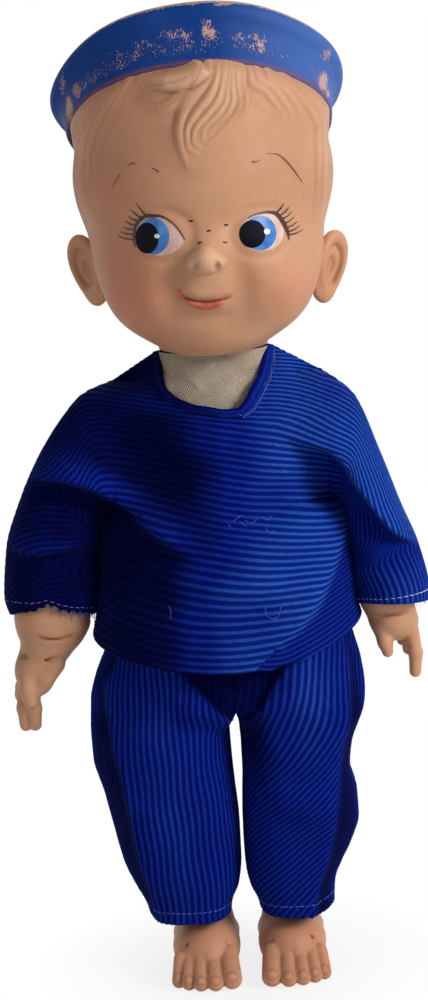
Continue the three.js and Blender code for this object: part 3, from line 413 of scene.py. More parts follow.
def corduroy_recipe(wire):
    place = wire.place()
    cloth = wire.node("UVMap", {"uv_map": "cloth"})
    across = wire.node("SeparateXYZ", None, {0: cloth}, 1)
    rib = wire.math("COSINE", across * (2 * math.pi / WALE_PITCH)) * 0.5 + 0.5
    fuzz = wire.noise(place, 1500.0, 3.0, 0.7)
    tuft = wire.noise(place, 700.0, 2.0)
    # painted light: the mark, with some random tone added, stands for the light and shade on the cloth
    painted_light = wire.mark("painted_light") + wire.noise(place, 34.0, 3.0) * 0.4 - 0.2
    valley = wire.mix(painted_light.step(0.5, 1.0), wire.mix(painted_light.step(0.0, 0.5), VALLEY_SHADED, VALLEY), VALLEY_LIT)
    crest = wire.mix(painted_light.step(0.5, 1.0), wire.mix(painted_light.step(0.0, 0.5), CREST_SHADED, CREST), CREST_LIT)
    # valleys between the wales are darker than the crests: the pile's own pattern, and a painted shade in the
    # grooves
    colour = wire.mix((rib * (tuft * 0.9 + 0.55)).step(0.3, 1.0), valley, crest)
    colour = wire.mix(fuzz.step(0.6, 0.8) * 0.16, colour, tint(64, 108, 206))
    return {"Base Color": colour, "Roughness": 0.92, "Sheen Weight": 0.05, "Sheen Roughness": 0.4,
            "Sheen Tint": tint(90, 140, 255), "Specular IOR Level": 0.05,
            "Normal": wire.bump(fuzz + tuft * 0.8, 0.00026, 0.8)}


corduroy = make_finish("blue_corduroy", corduroy_recipe)

# %% Linen, thread, elastic and steel
THREAD_PITCH = 0.62
LINEN_LIGHT, LINEN_DARK = tint(224, 210, 188), tint(134, 116, 98)


def linen_recipe(wire):
    place = wire.place()
    cloth = wire.node("UVMap", {"uv_map": "cloth"})
    warp = wire.math("SINE", wire.node("SeparateXYZ", None, {0: cloth}, 0) * (math.pi / THREAD_PITCH))
    weft = wire.math("SINE", wire.node("SeparateXYZ", None, {0: cloth}, 1) * (math.pi / THREAD_PITCH))
    weave = wire.math("ABSOLUTE", warp * weft)
    slub = wire.noise(place, 260.0, 4.0)
    stain_and_shade = wire.noise(place, 60.0, 3.0)
    colour = wire.mix(weave.step(0.05, 0.6), LINEN_DARK, LINEN_LIGHT)
    colour = wire.mix(slub.step(0.5, 0.8) * 0.5, colour, tint(228, 216, 198))
    colour = wire.mix(stain_and_shade.step(0.45, 0.75) * 0.4, colour, tint(150, 122, 96))
    return {"Base Color": colour, "Roughness": 0.95, "Specular IOR Level": 0.1,
            "Normal": wire.bump(weave + slub * 0.5, 0.00025)}


def thread_recipe(dark, light):
    def recipe(wire):
        return {"Base Color": wire.mix(wire.noise(wire.place(), 2200.0, 2.0), dark, light), "Roughness": 0.9}
    return recipe


def elastic_recipe(wire):
    ribbing = {"Vector": wire.place(), "Scale": 300.0, "Distortion": 1.0}
    rib = wire.node("TexWave", {"bands_direction": "Z"}, ribbing)
    return {"Base Color": wire.mix(rib, tint(190, 186, 176), tint(236, 232, 222)), "Roughness": 0.85,
            "Normal": wire.bump(rib, 0.0002)}


def steel_recipe(wire):
    scratch = wire.noise(wire.place(), 700.0, 4.0)
    colour = wire.mix(scratch.step(0.4, 0.7), tint(188, 189, 192), tint(140, 138, 134))
    return {"Base Color": colour, "Metallic": 1.0, "Roughness": scratch * 0.3 + 0.22}


linen = make_finish("cream_linen", linen_recipe)
thread = make_finish("pale_thread", thread_recipe(tint(170, 174, 200), tint(236, 236, 240)))
dull_thread = make_finish("dull_thread", thread_recipe(tint(58, 84, 164), tint(116, 138, 200)))
blue_thread = make_finish("blue_thread", thread_recipe(tint(8, 24, 110), tint(40, 76, 180)))
elastic = make_finish("braided_elastic", elastic_recipe)
steel = make_finish("nickelled_steel", steel_recipe)
UNDER_FINISHES = {  # of the solids that are shown as they are
    "torso": vinyl, "back_placket": corduroy, "waist_elastic": elastic, "snap_stud_upper": steel,
    "snap_socket_upper": steel, "snap_stud_lower": steel, "snap_socket_lower": steel,
}
for node, finish in UNDER_FINISHES.items():
    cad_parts[node].data.materials.clear()
    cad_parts[node].data.materials.append(finish)

# %% [markdown]
# ## Head
# The head is a hollow vinyl casting. Its rough form is a soft union of a few egg shapes: the skull, the face,
# two cheeks and a chin. A ball of points is pushed out to that union, then the front is pushed forwards for
# nose, lips and hair. Sculpting by hand would look as good, but formulas can be measured against the
# photograph and changed one at a time.

# %% Rough form of the head
HEAD_MIDDLE = np.array([0, -2, 244.0])
HEAD_LUMPS = [  # middle from the head's middle, and half sizes
    ((0, 3, 14), (40.6, 43, 35)),
    ((0, -4, -8), (36, 36, 31)),
    ((13, -15, -18.5), (18.6, 18.5, 16.5)),
    ((-13, -15, -18.5), (18.6, 18.5, 16.5)),
    ((0, -16, -29.2), (19.5, 15.5, 12)),
    ((0, -9, 33), (35, 27, 22)),
]
LUMP_SOFTNESS = 2.0
NECK_SEAT_Z = 203.9
NECK_COLLAR_RADIUS = 17.0
NEAREST_SKIN, FARTHEST_SKIN, HALVINGS = 8.0, 70.0, 18
HEAD_COLUMNS, HEAD_ROWS = 372, 250
FRONT_CROWDING = 0.55


def egg(p, at, half):
    """Distance to an egg shape, near enough for joining."""
    q = (p - np.array(at)) / np.array(half)
    size = np.linalg.norm(q, axis=-1)
    return size * (size - 1) / np.maximum(np.linalg.norm(q / np.array(half), axis=-1), 1e-6)


def head_distance(p):
    """Distance to the soft union of the head's lumps; p is measured from the head's middle."""
    lumps = np.stack([egg(p, at, half) for at, half in HEAD_LUMPS])
    return -LUMP_SOFTNESS * np.logaddexp.reduce(-lumps / LUMP_SOFTNESS, axis=0)


def reach_of_skin(start, ray, nearest, farthest):
    """How far points go along their rays to the head's skin, by halving; start is from the head's middle."""
    near, far_off = np.full(ray.shape[:2], nearest), np.full(ray.shape[:2], farthest)
    for _ in range(HALVINGS):
        between = (near + far_off) / 2
        inside = head_distance(start + ray * between[..., None]) < 0
        near, far_off = np.where(inside, between, near), np.where(inside, far_off, between)
    return near


around = np.linspace(-1, 1, HEAD_COLUMNS, endpoint=False)
around = math.pi * (FRONT_CROWDING * around + (1 - FRONT_CROWDING) * around ** 3)
upward = np.linspace(-math.pi / 2, math.pi / 2, HEAD_ROWS + 2)
turn, lift = np.meshgrid(around, upward)
head_ray = np.stack([np.sin(turn) * np.cos(lift), -np.cos(turn) * np.cos(lift), np.sin(lift)], -1)
head_points = HEAD_MIDDLE + head_ray * reach_of_skin(0, head_ray, NEAREST_SKIN, FARTHEST_SKIN)[..., None]
facing = ease(-head_ray[..., 1], 0.02, 0.4)
print("head form:", np.ptp(head_points.reshape(-1, 3), axis=0).round(1), "mm")

# %% Hair up to the cap, and the skull cut level under its crown
CAP_MIDDLE = np.array([0, -1.5, 273.0])
CAP_TILT = math.radians(29)
CROWN_ROOM = 7.0
HAIR_WALL = [  # height on the cap's axis, and how far out the hair reaches
    (-46, 12), (-36, 22), (-29, 29.4), (-14, 36.2), (0, 40.7), (3, 40.7), (8, 36), (14, 24), (20, 6),
]
HAIR_LOW, HAIR_FULL = -46, -34
FARTHEST_HAIR = -8
cap_up = np.array([0, math.sin(CAP_TILT), math.cos(CAP_TILT)])
cap_front = np.array([0, -math.cos(CAP_TILT), math.sin(CAP_TILT)])
from_cap = head_points - CAP_MIDDLE
height, forward = from_cap @ cap_up, from_cap @ cap_front
around_cap = np.maximum(np.hypot(from_cap[..., 0], forward), 1e-6)
short = curve(height, HAIR_WALL) - around_cap
grow = 0.5 * (short + np.sqrt(short ** 2 + 1)) * (short > FARTHEST_HAIR)
grow = grow * ease(forward / around_cap, -0.35, 0.2) * ease(height, HAIR_LOW, HAIR_FULL)
head_points = head_points + (grow / around_cap)[..., None] * (from_cap - height[..., None] * cap_up)
over_crown = np.maximum(0, (head_points - CAP_MIDDLE) @ cap_up - CROWN_ROOM)
head_points = head_points - over_crown[..., None] * cap_up
head_x, head_z = head_points[..., 0], head_points[..., 2]
print("hair under the cap: up to", grow.max().round(1), "mm")

# %% [markdown]
# ### Face and hair
# Lines are drawn on the photograph in pixels and carried to the face. Each lock of hair is a rounded ridge
# along its line that thins towards its tip. The mouth is a groove between two soft ridges. Depths are a
# millimetre or two, as on the casting.

# %% Face relief
FACE_Y = -40
NOSE_AT, NOSE_HALF, NOSE_RISE = (206, 259.5), (6.2, 4.5), 5.4
EYES = [(160, 234.5), (262, 232.5)]
EYE_HALF = (8.6, 6.6)
MOUTH_LINE = [(181, 294.5), (186, 297.5), (195, 300.8), (206, 302), (218, 300.5), (230, 297.5)]
LOWER_LIP = [(191, 305), (206, 307.5), (220, 304.5)]
CHEEK_VALLEYS = [
    [(178, 270), (172, 284), (173, 300), (176, 320), (182, 336)],
    [(236, 262), (242, 280), (244, 298), (244, 314), (245, 328)],
]
CHEEKS = [((148, 296), 1.7), ((284, 288), 1.5)]
CHIN_HOLLOW = [(188, 316), (206, 319), (224, 316)]


def to_drawn(pixels, y, count):
    """What to_line says of the head's points, for a line of pixels that is smoothed at depth y."""
    return to_line(head_x, head_z, smooth_line(at_depth(pixels, y), count))


relief = np.zeros_like(head_x)
nose_x, nose_z = at_depth([NOSE_AT], FACE_Y - 5)[0]
across, rise = (head_x - nose_x) / NOSE_HALF[0], (head_z - nose_z) / NOSE_HALF[1]
narrow = 1 - 0.42 * np.clip(rise, -0.3, 1)
button = np.maximum(0, 1 - (across / narrow) ** 2 - rise ** 2)
# painted highlight on the nose's button
pale = ease(button, 0, 0.3)
relief += NOSE_RISE * button ** 0.55 + 0.8 * bell(np.hypot(across, rise), 1.4)
relief += 1.0 * bell(across, 0.7) * bell(rise - 1.3, 1.0)
nostrils = np.zeros_like(head_x)
for side in (-1, 1):
    relief += 0.9 * bell(across - 0.78 * side, 0.3) * bell(rise + 0.35, 0.45)
    nostrils += bell(across - 0.51 * side, 0.16) * bell(rise + 0.45, 0.33)
relief -= 1.9 * nostrils
for eye in EYES:
    eye_x, eye_z = at_depth([eye], FACE_Y + 3)[0]
    ring = np.hypot((head_x - eye_x) / EYE_HALF[0], (head_z - eye_z) / EYE_HALF[1])
    relief += 1.1 * np.maximum(0, 1 - ring ** 2) ** 1.3 - 0.55 * bell(ring - 1.15, 0.2)
muzzle_x, muzzle_z = at_depth([(207, 290)], FACE_Y)[0]
relief += 1.7 * bell(head_x - muzzle_x, 9.5) * bell(head_z - muzzle_z, 10)
gap, above, share = to_drawn(MOUTH_LINE, FACE_Y - 2, 24)
inside = np.sin(math.pi * np.clip(share, 0, 1)) ** 0.7
relief += 0.7 * bell(gap - 1.8, 1.4) * (above > 0) * inside - 1.0 * bell(gap, 0.75) * (0.4 + 0.6 * inside)
relief += 1.1 * bell(to_drawn(LOWER_LIP, FACE_Y - 2, 12)[0], 1.7)
# painted shade along the cheek valleys
smile_shade = np.zeros_like(head_x)
for valley in CHEEK_VALLEYS:
    away, _, share = to_drawn(valley, FACE_Y, 12)
    fade = 1 - 0.85 * ease(share, 0.3, 1)
    relief -= 1.6 * fade * bell(away, 4.2)
    smile_shade = np.maximum(smile_shade, fade * bell(away, 3.8))
for cheek, rise in CHEEKS:
    cheek_x, cheek_z = at_depth([cheek], FACE_Y)[0]
    relief += rise * bell(np.hypot(head_x - cheek_x, head_z - cheek_z), 10)
relief -= 0.8 * bell(to_drawn(CHIN_HOLLOW, FACE_Y, 12)[0], 2.4)
mouth_groove = bell(gap, 0.6) * np.sin(math.pi * np.clip(share, 0.02, 0.98))
print("face relief: nose at", nose_x.round(1), nose_z.round(1))

# %% Hair relief
HAIR_Y = -37
HAIR_SHADOWS = [  # line in pixels, half width in mm, how dark
    ([(141, 97), (158, 106), (178, 101)], 3.0, 0.5),
    ([(158, 128), (172, 146), (182, 166)], 3.4, 0.32),
    ([(120, 84), (108, 96)], 3.0, 0.3),
]
HAIR_MASSES = [  # line in pixels, half width in mm, rise in mm
    ([(224, 52), (219, 84), (209, 104), (196, 124), (188, 142), (188, 162)], 7.5, 1.1),
    ([(206, 62), (188, 76), (166, 81), (149, 82), (139, 80)], 3.6, 2.4),
    ([(204, 74), (186, 95), (168, 108), (148, 115)], 3.4, 0.6),
    ([(252, 54), (272, 88), (290, 108), (300, 130)], 7.0, 0.4),
    ([(112, 88), (96, 116), (86, 148), (86, 190)], 5.0, 0.45),
    ([(314, 96), (327, 128), (328, 168), (323, 212), (318, 238)], 3.2, 0.6),
]
STRANDS = [  # line in pixels, half width in mm, share of the strands' rise
    ([(212, 50), (207, 75), (191, 98), (181, 116), (178.8, 133), (182, 151), (187, 165)], 2.1, 0.8),
    ([(218, 50), (215.5, 78), (209, 96), (195, 114), (186, 131), (187, 145), (197, 154)], 1.7, 0.8),
    ([(223, 50), (221.6, 80), (219.6, 96), (207, 114), (194, 131), (193, 141), (201, 148)], 1.6, 0.75),
    ([(227, 50), (225.7, 82), (225.7, 98), (217.6, 114), (203, 131), (203, 139)], 1.6, 0.7),
    ([(231, 50), (230.8, 84), (233, 98), (228, 112), (215.5, 124.5), (210, 134)], 1.6, 0.65),
    ([(236, 50), (237, 86), (240, 98), (237, 112), (228, 122)], 1.6, 0.6),
    ([(241, 50), (242, 88), (246.5, 98), (245, 110), (241, 116)], 1.6, 0.55),
    ([(212, 62), (191, 80.6), (170.6, 88), (154, 90), (141, 87), (135.5, 81.6)], 1.7, 0.7),
    ([(206, 62), (183, 75.5), (166.5, 79), (154, 81), (146, 79), (143, 75)], 1.6, 0.6),
    ([(208, 70), (187, 96), (170.6, 108), (156, 114.7), (144, 117)], 1.4, 0.5),
    ([(200, 72), (175, 98), (160, 107), (146, 111)], 1.3, 0.45),
    ([(246, 52), (252, 82), (264.5, 90), (275, 102), (283, 114), (288, 124.5)], 1.4, 0.4),
    ([(252, 52), (260, 78), (275, 88), (285, 102), (293, 116), (295, 131)], 1.4, 0.4),
    ([(262, 52), (275, 82), (291, 94), (301, 110), (307, 131)], 1.4, 0.4),
    ([(280, 66), (291, 88), (309, 104), (319.6, 122), (324, 143)], 1.5, 0.4),
    ([(322, 120), (323, 150), (321, 185), (319, 214)], 1.0, 0.4),
    ([(328, 120), (330, 160), (328, 195), (325, 226)], 1.2, 0.4),
    ([(124, 78), (101, 114), (90, 138), (86, 165), (88, 195)], 1.4, 0.4),
    ([(112, 86), (90, 124), (80, 150), (78, 180), (84, 205), (92, 216)], 1.4, 0.4),
    ([(132, 72), (112, 104), (100, 130)], 1.3, 0.3),
]
LEAST_TIP = 0.2
STRAND_RISE = 1.4
# how dark the painted shade is in the mouth line, the nostrils, the cheek valleys and at the feet of the hair
MOUTH_SHADE, NOSTRIL_SHADE, SMILE_SHADE = 0.6, 0.8, 0.3
MASS_SHADE, STRAND_SHADE = 0.42, 0.55


def lock_height(line, half, rise):
    """A rounded ridge along a line of pixels that sinks towards its tip, and the painted shade along its foot.
    """
    gap, _, share = to_drawn(line, HAIR_Y, 30)
    width = half * (1.1 - 0.75 * share ** 2.5)
    fade = ease(share, 0, 0.12) * (1 - (1 - LEAST_TIP) * ease(share, 0.6, 1))
    return rise * fade * np.maximum(0, 1 - (gap / width) ** 2) ** 0.85, rise * fade * bell(gap - width, 0.45)


masses, strands = np.zeros_like(head_x), np.zeros_like(head_x)
# painted shade in grooves and hollows, gathered into one mark
shade_and_dirt = (MOUTH_SHADE * mouth_groove + NOSTRIL_SHADE * nostrils + SMILE_SHADE * smile_shade) * facing
for line, half, rise in HAIR_MASSES:
    ridge, foot = lock_height(line, half, rise)
    masses = np.maximum(masses, ridge)
    shade_and_dirt = np.maximum(shade_and_dirt, MASS_SHADE * foot * facing)
for line, half, rise in STRANDS:
    ridge, foot = lock_height(line, half, STRAND_RISE * rise)
    strands = np.maximum(strands, ridge)
    shade_and_dirt = np.maximum(shade_and_dirt, STRAND_SHADE * foot * (1 - ease(strands, 0.15, 0.6)) * facing)
hair = masses + strands
for line, half, dark in HAIR_SHADOWS:
    away = to_drawn(line, HAIR_Y, 16)[0]
    shade_and_dirt = np.maximum(shade_and_dirt, dark * bell(away, half) * (1 - ease(hair, 0.1, 0.8)) * facing)
# painted highlight on the crests of the hair
pale = np.maximum(pale, 0.75 * ease(hair, 0.5, 2.4))
print("hair:", len(HAIR_MASSES), "masses and", len(STRANDS), "strands")

# %% Combed hair at the back, neck, blush, and painted shade under the cap and in the combing
COMB_WAVES, COMB_DEPTH, COMB_SHADE = 58, 0.26, 0.25
CAP_RIM_SHADE = 0.4
CHEEK_BLUSH = ((-25, 224), (25, 224))
COLLAR_SOFT, COLLAR_TOP = 1.5, 225
above_rim = (head_points - CAP_MIDDLE) @ cap_up
# painted shadow on the hair just under the cap's rim
cap_shadow = bell(above_rim + 1.0, 1.6) * facing
shade_and_dirt = np.maximum(shade_and_dirt, CAP_RIM_SHADE * cap_shadow)
relief = (relief + hair) * facing
scalp = ease(head_z + 0.35 * head_points[..., 1], 228, 246) * (1 - facing) * ease(-above_rim, 0.5, 5)
comb = np.sin(COMB_WAVES * turn + 5 * np.sin(2.2 * lift + 0.6) + 2 * np.sin(3 * turn))
head_points += head_ray * (COMB_DEPTH * comb * scalp)[..., None]
head_points[..., 1] -= relief
# painted shade in the valleys of the combed hair
shade_and_dirt = np.clip(shade_and_dirt + COMB_SHADE * scalp * np.maximum(0, -comb) ** 2, 0, 1)
from_neck = np.hypot(head_points[..., 0], head_points[..., 1])
collar = ease(NECK_COLLAR_RADIUS + COLLAR_SOFT - from_neck, 0, COLLAR_SOFT) * (head_z < COLLAR_TOP)
head_points[..., 2] = head_z + (NECK_SEAT_Z - head_z) * collar
head_points[..., 2] = np.maximum(head_points[..., 2], NECK_SEAT_Z)
blush_and_shade = sum(bell(head_x - x, 12) * bell(head_z - z, 9) for x, z in CHEEK_BLUSH) * facing
# painted shade: a warmer, darker tint that grows towards the doll's right, away from the strong lamp
blush_and_shade = blush_and_shade + 0.9 * ease(-head_x, -4, 34) * facing
print("comb:", COMB_WAVES, "waves,", COMB_DEPTH, "mm deep")

# %% Head


def ball_faces(rows, columns):
    """Faces of a ball of rings with one point at each pole, which come first and last."""
    body = grid_faces(rows, columns, True) + 1
    column = np.arange(columns)
    after = (column + 1) % columns
    last = rows * columns + 1
    low = np.stack([np.zeros(columns, int), after + 1, column + 1], 1)
    top = last - columns
    high = np.stack([top + column, top + after, np.full(columns, last)], 1)
    return list(body) + list(low) + list(high)


def ball_points(grid):
    """The points of a ball: its first and last rows shrink to one point each."""
    return np.concatenate([grid[:1, 0], grid[1:-1].reshape(-1, *grid.shape[2:]), grid[-1:, 0]])


head_marks = {"shade_and_dirt": shade_and_dirt, "blush_and_shade": blush_and_shade, "pale": pale * facing}
head = make_piece("doll_head", ball_points(head_points), ball_faces(HEAD_ROWS, HEAD_COLUMNS), vinyl,
                  marks={mark: ball_points(values) for mark, values in head_marks.items()})
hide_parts("head")
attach(head, "head")

# %% [markdown]
# ## Sailor cap
# The cap is part of the casting, a flared band with a rolled rim, painted blue. It could be modelled with a
# brim and folds, but the real one is a plain turned shape, so its side view is spun round and tilted back. It
# is then stretched over the skull: the band is pushed out and the crown up until they clear it. The paint has
# rubbed off along the rim and in patches, and flesh vinyl shows there.

# %% Cap paint
CAP_BLUE, CAP_PALE, CAP_EDGE_BROWN = tint(5, 56, 130), tint(88, 124, 196), tint(132, 74, 50)
CAP_BARE = tint(206, 164, 146)


def cap_recipe(wire):
    place = wire.place()
    wear, shade, painted_light = wire.mark("wear"), wire.mark("shade"), wire.mark("painted_light")
    drawn_out = wire.node("VectorMath", {"operation": "MULTIPLY"}, {0: place, 1: (1, 1, 0.45)})
    fleck = wire.noise(drawn_out, 2300.0, 2.0, 0.6)
    rub = wire.noise(place, 260.0, 4.0, 0.6)
    cloud = wire.noise(place, 30.0, 2.0)
    # painted highlight: paler towards the side of the strong lamp, with random clouds of paler paint
    colour = wire.mix(cloud.step(0.45, 0.75) * 0.16 + painted_light * 0.68, CAP_BLUE, CAP_PALE)
    bare = (wear + fleck * 0.85 + rub * 0.4).step(1.07, 1.13)
    colour = wire.mix(bare * 0.85, colour, CAP_BARE)
    colour = wire.mix(shade * (rub * 1.4), colour, CAP_EDGE_BROWN)
    return {"Base Color": colour, "Roughness": rub * 0.25 + 0.45, "Specular IOR Level": 0.14,
            "Normal": wire.bump(bare * -1.0 + rub * 0.3, 0.0001)}


cap_paint = make_finish("worn_cap_paint", cap_recipe)

# %% Cap turned from its side view
CAP_SIDE_VIEW = [  # radius and height, from inside the band over the rim to the crown
    (37.0, 2.0), (39.6, 0.2), (40.8, -0.5), (41.5, 0.2), (41.8, 3), (42.2, 8), (43.6, 11.5), (45.4, 13.8),
    (46, 16), (45.2, 18), (43, 18.9), (40, 18.2), (37, 16.4), (30, 17), (20, 18.8), (10, 19.8), (0.4, 20),
]
RIM_DROOP = {"left": 0.12, "right": 0.36}
CAP_COLUMNS, CAP_ROWS = 200, 110
side_view = smooth_line(CAP_SIDE_VIEW, CAP_ROWS)
cap_reach, cap_rise = side_view[:, :1], side_view[:, 1:]
cap_turn = np.linspace(-math.pi, math.pi, CAP_COLUMNS, endpoint=False)
dent = 1 + 0.006 * np.sin(3 * cap_turn + 0.7) + 0.004 * np.sin(7 * cap_turn)
radius = cap_reach * dent
cap_x, cap_y = radius * np.sin(cap_turn), -radius * np.cos(cap_turn)
cap_points = np.stack([cap_x, cap_y, np.repeat(cap_rise, CAP_COLUMNS, 1)], -1)
droop = np.where(cap_turn < 0, RIM_DROOP["right"], RIM_DROOP["left"]) * ease(np.abs(cap_turn), 0.35, 1.7)
droop = droop * (1 - ease(np.abs(cap_turn), 2.0, 2.9))
cap_points[..., 2] *= 1 - droop * ease(cap_reach, 20, 37) * ease(cap_rise, 0, 9)
cap_points[..., 2] += 0.25 * np.sin(4 * cap_turn + 1) * ease(cap_rise, 0, 16) * ease(cap_reach, 12, 36)
cap_points = CAP_MIDDLE + cap_points @ np.array([[1, 0, 0], -cap_front, cap_up])
print("cap:", round(2 * side_view[:, 0].max(), 1), "mm across its rim")

# %% Cap stretched over the skull
CAP_STRETCH, CAP_WALL = 14.0, 0.7
BAND_INSIDE, BAND_OUTSIDE = 39, 40.6
band = np.arange(CAP_ROWS)[:, None, None] <= side_view[:, 0].argmax()
from_axis = cap_points - CAP_MIDDLE - ((cap_points - CAP_MIDDLE) @ cap_up)[..., None] * cap_up
push = np.where(band, from_axis / np.linalg.norm(from_axis, axis=-1, keepdims=True), cap_up)
stretch = reach_of_skin(cap_points - HEAD_MIDDLE, push, 0.0, CAP_STRETCH)
stretch = stretch + CAP_WALL * ease(stretch, 0, 1.5)
stretch = stretch * np.where(band[..., 0], ease(cap_reach, BAND_INSIDE, BAND_OUTSIDE), 1)
cap_points = cap_points + push * stretch[..., None]
print("cap: stretched by up to", stretch.max().round(1), "mm")

# %% Worn paint of the cap
CAP_WEAR = [  # pixel, half sizes in mm along and across the band, and how bare
    (207, 31, 3.0, 4.2, 0.6), (213, 34, 1.8, 2.6, 0.62), (206, 22, 2.2, 1.6, 0.58), (262, 45, 2.6, 3.8, 0.6),
    (256, 36, 1.8, 2.4, 0.58), (67, 112, 2.0, 7.5, 0.66), (75, 92, 2.4, 4.0, 0.56), (326, 83, 2.8, 4.4, 0.66),
    (331, 95, 1.4, 3.0, 0.6), (180, 36, 12, 5.0, 0.43), (150, 47, 12, 5.0, 0.42), (120, 62, 9, 5.5, 0.41),
    (240, 37, 6, 2.4, 0.43), (192, 3, 5, 1.2, 0.52), (226, 3, 6, 1.3, 0.6), (330, 55, 3, 4, 0.5),
    (60, 85, 2, 6, 0.5),
]
RIM_WEAR, ALL_WEAR, BAND_WEAR = 0.47, 0.12, 0.275
CAP_FRONT_Y, CAP_BOW, CAP_MIDDLE_PIXEL = -38, 0.9, 205  # the band's front, and how it bows back to the sides
rim = bell(cap_rise - 17.6, 1.1) * (cap_reach > 41) * np.ones(CAP_COLUMNS)
front = ease(-cap_points[..., 1], 0, 14)
wear = RIM_WEAR * rim + ALL_WEAR
wear = wear + BAND_WEAR * bell(cap_rise - 5.6, 5.0) * front * (1 - 0.25 * ease(cap_points[..., 0], 0, 30))
for px, py, along, over, bare in CAP_WEAR:
    x, z = at_depth([(px, py)], CAP_FRONT_Y + CAP_BOW * abs((px - CAP_MIDDLE_PIXEL) / 40) ** 2)[0]
    away = np.hypot((cap_points[..., 0] - x) / along, (cap_points[..., 2] - z) / over)
    wear = np.maximum(wear, bare * (bell(away, 1.0) * (cap_points[..., 1] < 12)))
# an orange-brown line along the band's lower edge, where it meets the hair
shade = bell(cap_rise - 0.2, 0.55) * (cap_reach > 40) * np.ones(CAP_COLUMNS)
# painted highlight: the cap grows paler towards the side of the strong lamp
cap_marks = {"wear": wear, "shade": shade, "painted_light": ease(cap_points[..., 0], 2, 40) * 0.8}
print("cap paint:", len(CAP_WEAR), "worn spots, bare by up to", wear.max().round(2))

# %% Cap
cap_points = np.concatenate([cap_points.reshape(-1, 3), cap_points[-1].mean(0, keepdims=True)])
crown = CAP_ROWS * CAP_COLUMNS
ring = crown - CAP_COLUMNS + np.arange(CAP_COLUMNS)
crown_faces = np.stack([ring, np.roll(ring, -1), np.full(CAP_COLUMNS, crown)], 1)
cap_faces = list(grid_faces(CAP_ROWS, CAP_COLUMNS, True)) + list(crown_faces)
cap = make_piece("sailor_cap", cap_points, cap_faces, cap_paint,
                 marks={mark: np.r_[values.ravel(), 0] for mark, values in cap_marks.items()})
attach(cap, "head")

# %% [markdown]
# ## Face paint
# Eyes, lashes, brows, freckles and lips are sprayed and brushed on the casting. They could be drawn in the
# vinyl's material, but their edges are sharp and hand painted, so each is a thin patch of mesh laid on the
# skin: the photograph's pixels are followed along the line of sight to the head, and lifted off it by a few
# hundredths of a millimetre, one coat over the other.

# %% Paints


def paint(name, light, dark, grain, rough=0.35, shine=0.3):
    """A finish of streaky paint between two colours."""
    def recipe(wire):
        streak = wire.noise(wire.place(), grain, 4.0)
        colour = wire.mix(streak.step(0.3, 0.75), tint(*dark), tint(*light))
        return {"Base Color": colour, "Roughness": streak * 0.15 + rough, "Specular IOR Level": shine}
    return make_finish(name + "_paint", recipe)


eye_white = paint("eye_white", (228, 202, 188), (208, 164, 150), 300.0)
eye_blue = paint("eye_blue", (84, 146, 222), (40, 98, 176), 240.0, 0.25)
eye_black = paint("eye_black", (12, 12, 28), (4, 4, 12), 400.0, 0.5, 0.08)
eye_glint = paint("eye_glint", (250, 248, 244), (232, 226, 218), 300.0)
brown_line = paint("brown_line", (84, 46, 32), (52, 24, 18), 500.0)
brow_brown = paint("brow", (150, 100, 70), (104, 62, 40), 700.0)
lip_coral = paint("lip", (204, 116, 92), (178, 82, 60), 350.0, 0.4)
lip_pale = paint("lip_smear", (212, 138, 112), (204, 150, 122), 900.0, 0.45)
lip_dark = paint("lip_line", (150, 62, 44), (112, 38, 28), 500.0, 0.5)

# %% Brush strokes and patches
camera_place = Vector(CAMERA_AT * MM)
COAT = 0.06


def skin_of(piece):
    """A piece's surface, for finding where a line meets it."""
    faces = [face.vertices for face in piece.data.polygons]
    return BVHTree.FromPolygons([point.co for point in piece.data.vertices], faces)


head_skin = skin_of(head)


def on_head(pixels, coats):
    """Places on the head's skin that pixels show, with so many coats of paint below."""
    places = []
    for direction in sight(pixels):
        hit, normal, _, _ = head_skin.ray_cast(camera_place, Vector(direction).normalized())
        places.append(np.array(hit) / MM + np.array(normal) * COAT * coats)
    return np.array(places)


def patch(outline, coats, rings=7):
    """Points and faces of a filled patch inside a closed outline of pixels."""
    edge = smooth_line(list(outline) + [outline[0]], 73)[:-1]
    middle = edge.mean(0)
    pixels = np.concatenate([middle + (edge - middle) * share for share in np.linspace(0.02, 1, rings)])
    return on_head(pixels, coats), grid_faces(rings, len(edge), True)


def oval(middle, half, turn=0.0):
    """An outline of pixels round a middle."""
    angle = np.linspace(0, 2 * math.pi, 24, endpoint=False)
    x, y = half[0] * np.cos(angle), half[1] * np.sin(angle)
    across = middle[0] + x * math.cos(turn) - y * math.sin(turn)
    down = middle[1] + x * math.sin(turn) + y * math.cos(turn)
    return np.stack([across, down], 1)


def stroke(line, widths, coats, count=28):
    """Points and faces of a brush stroke along a line of pixels; widths are given evenly along it."""
    spine = smooth_line(line, count)
    along = np.gradient(spine, axis=0)
    sideways = np.stack([-along[:, 1], along[:, 0]], 1) / np.linalg.norm(along, axis=1, keepdims=True)
    width = np.interp(np.linspace(0, 1, count), np.linspace(0, 1, len(widths)), widths)[:, None]
    pixels = np.concatenate([spine + sideways * width * share for share in (-0.5, -0.17, 0.17, 0.5)])
    return on_head(pixels, coats), grid_faces(4, count)


def paint_piece(name, parts, finish):
    """One piece from several patches and strokes, facing outwards, riding on the head."""
    points, faces, start = [], [], 0
    for part_points, part_faces in parts:
        a, b, c = (part_points[part_faces[len(part_faces) // 2][k]] for k in (0, 1, 2))
        outward = np.cross(b - a, c - a) @ (part_points[0] - HEAD_MIDDLE) > 0
        points.append(part_points)
        faces.append((part_faces if outward else part_faces[:, ::-1]) + start)
        start += len(part_points)
    piece = make_piece(name, np.concatenate(points), np.concatenate(faces), finish)
    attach(piece, "head")
    return piece


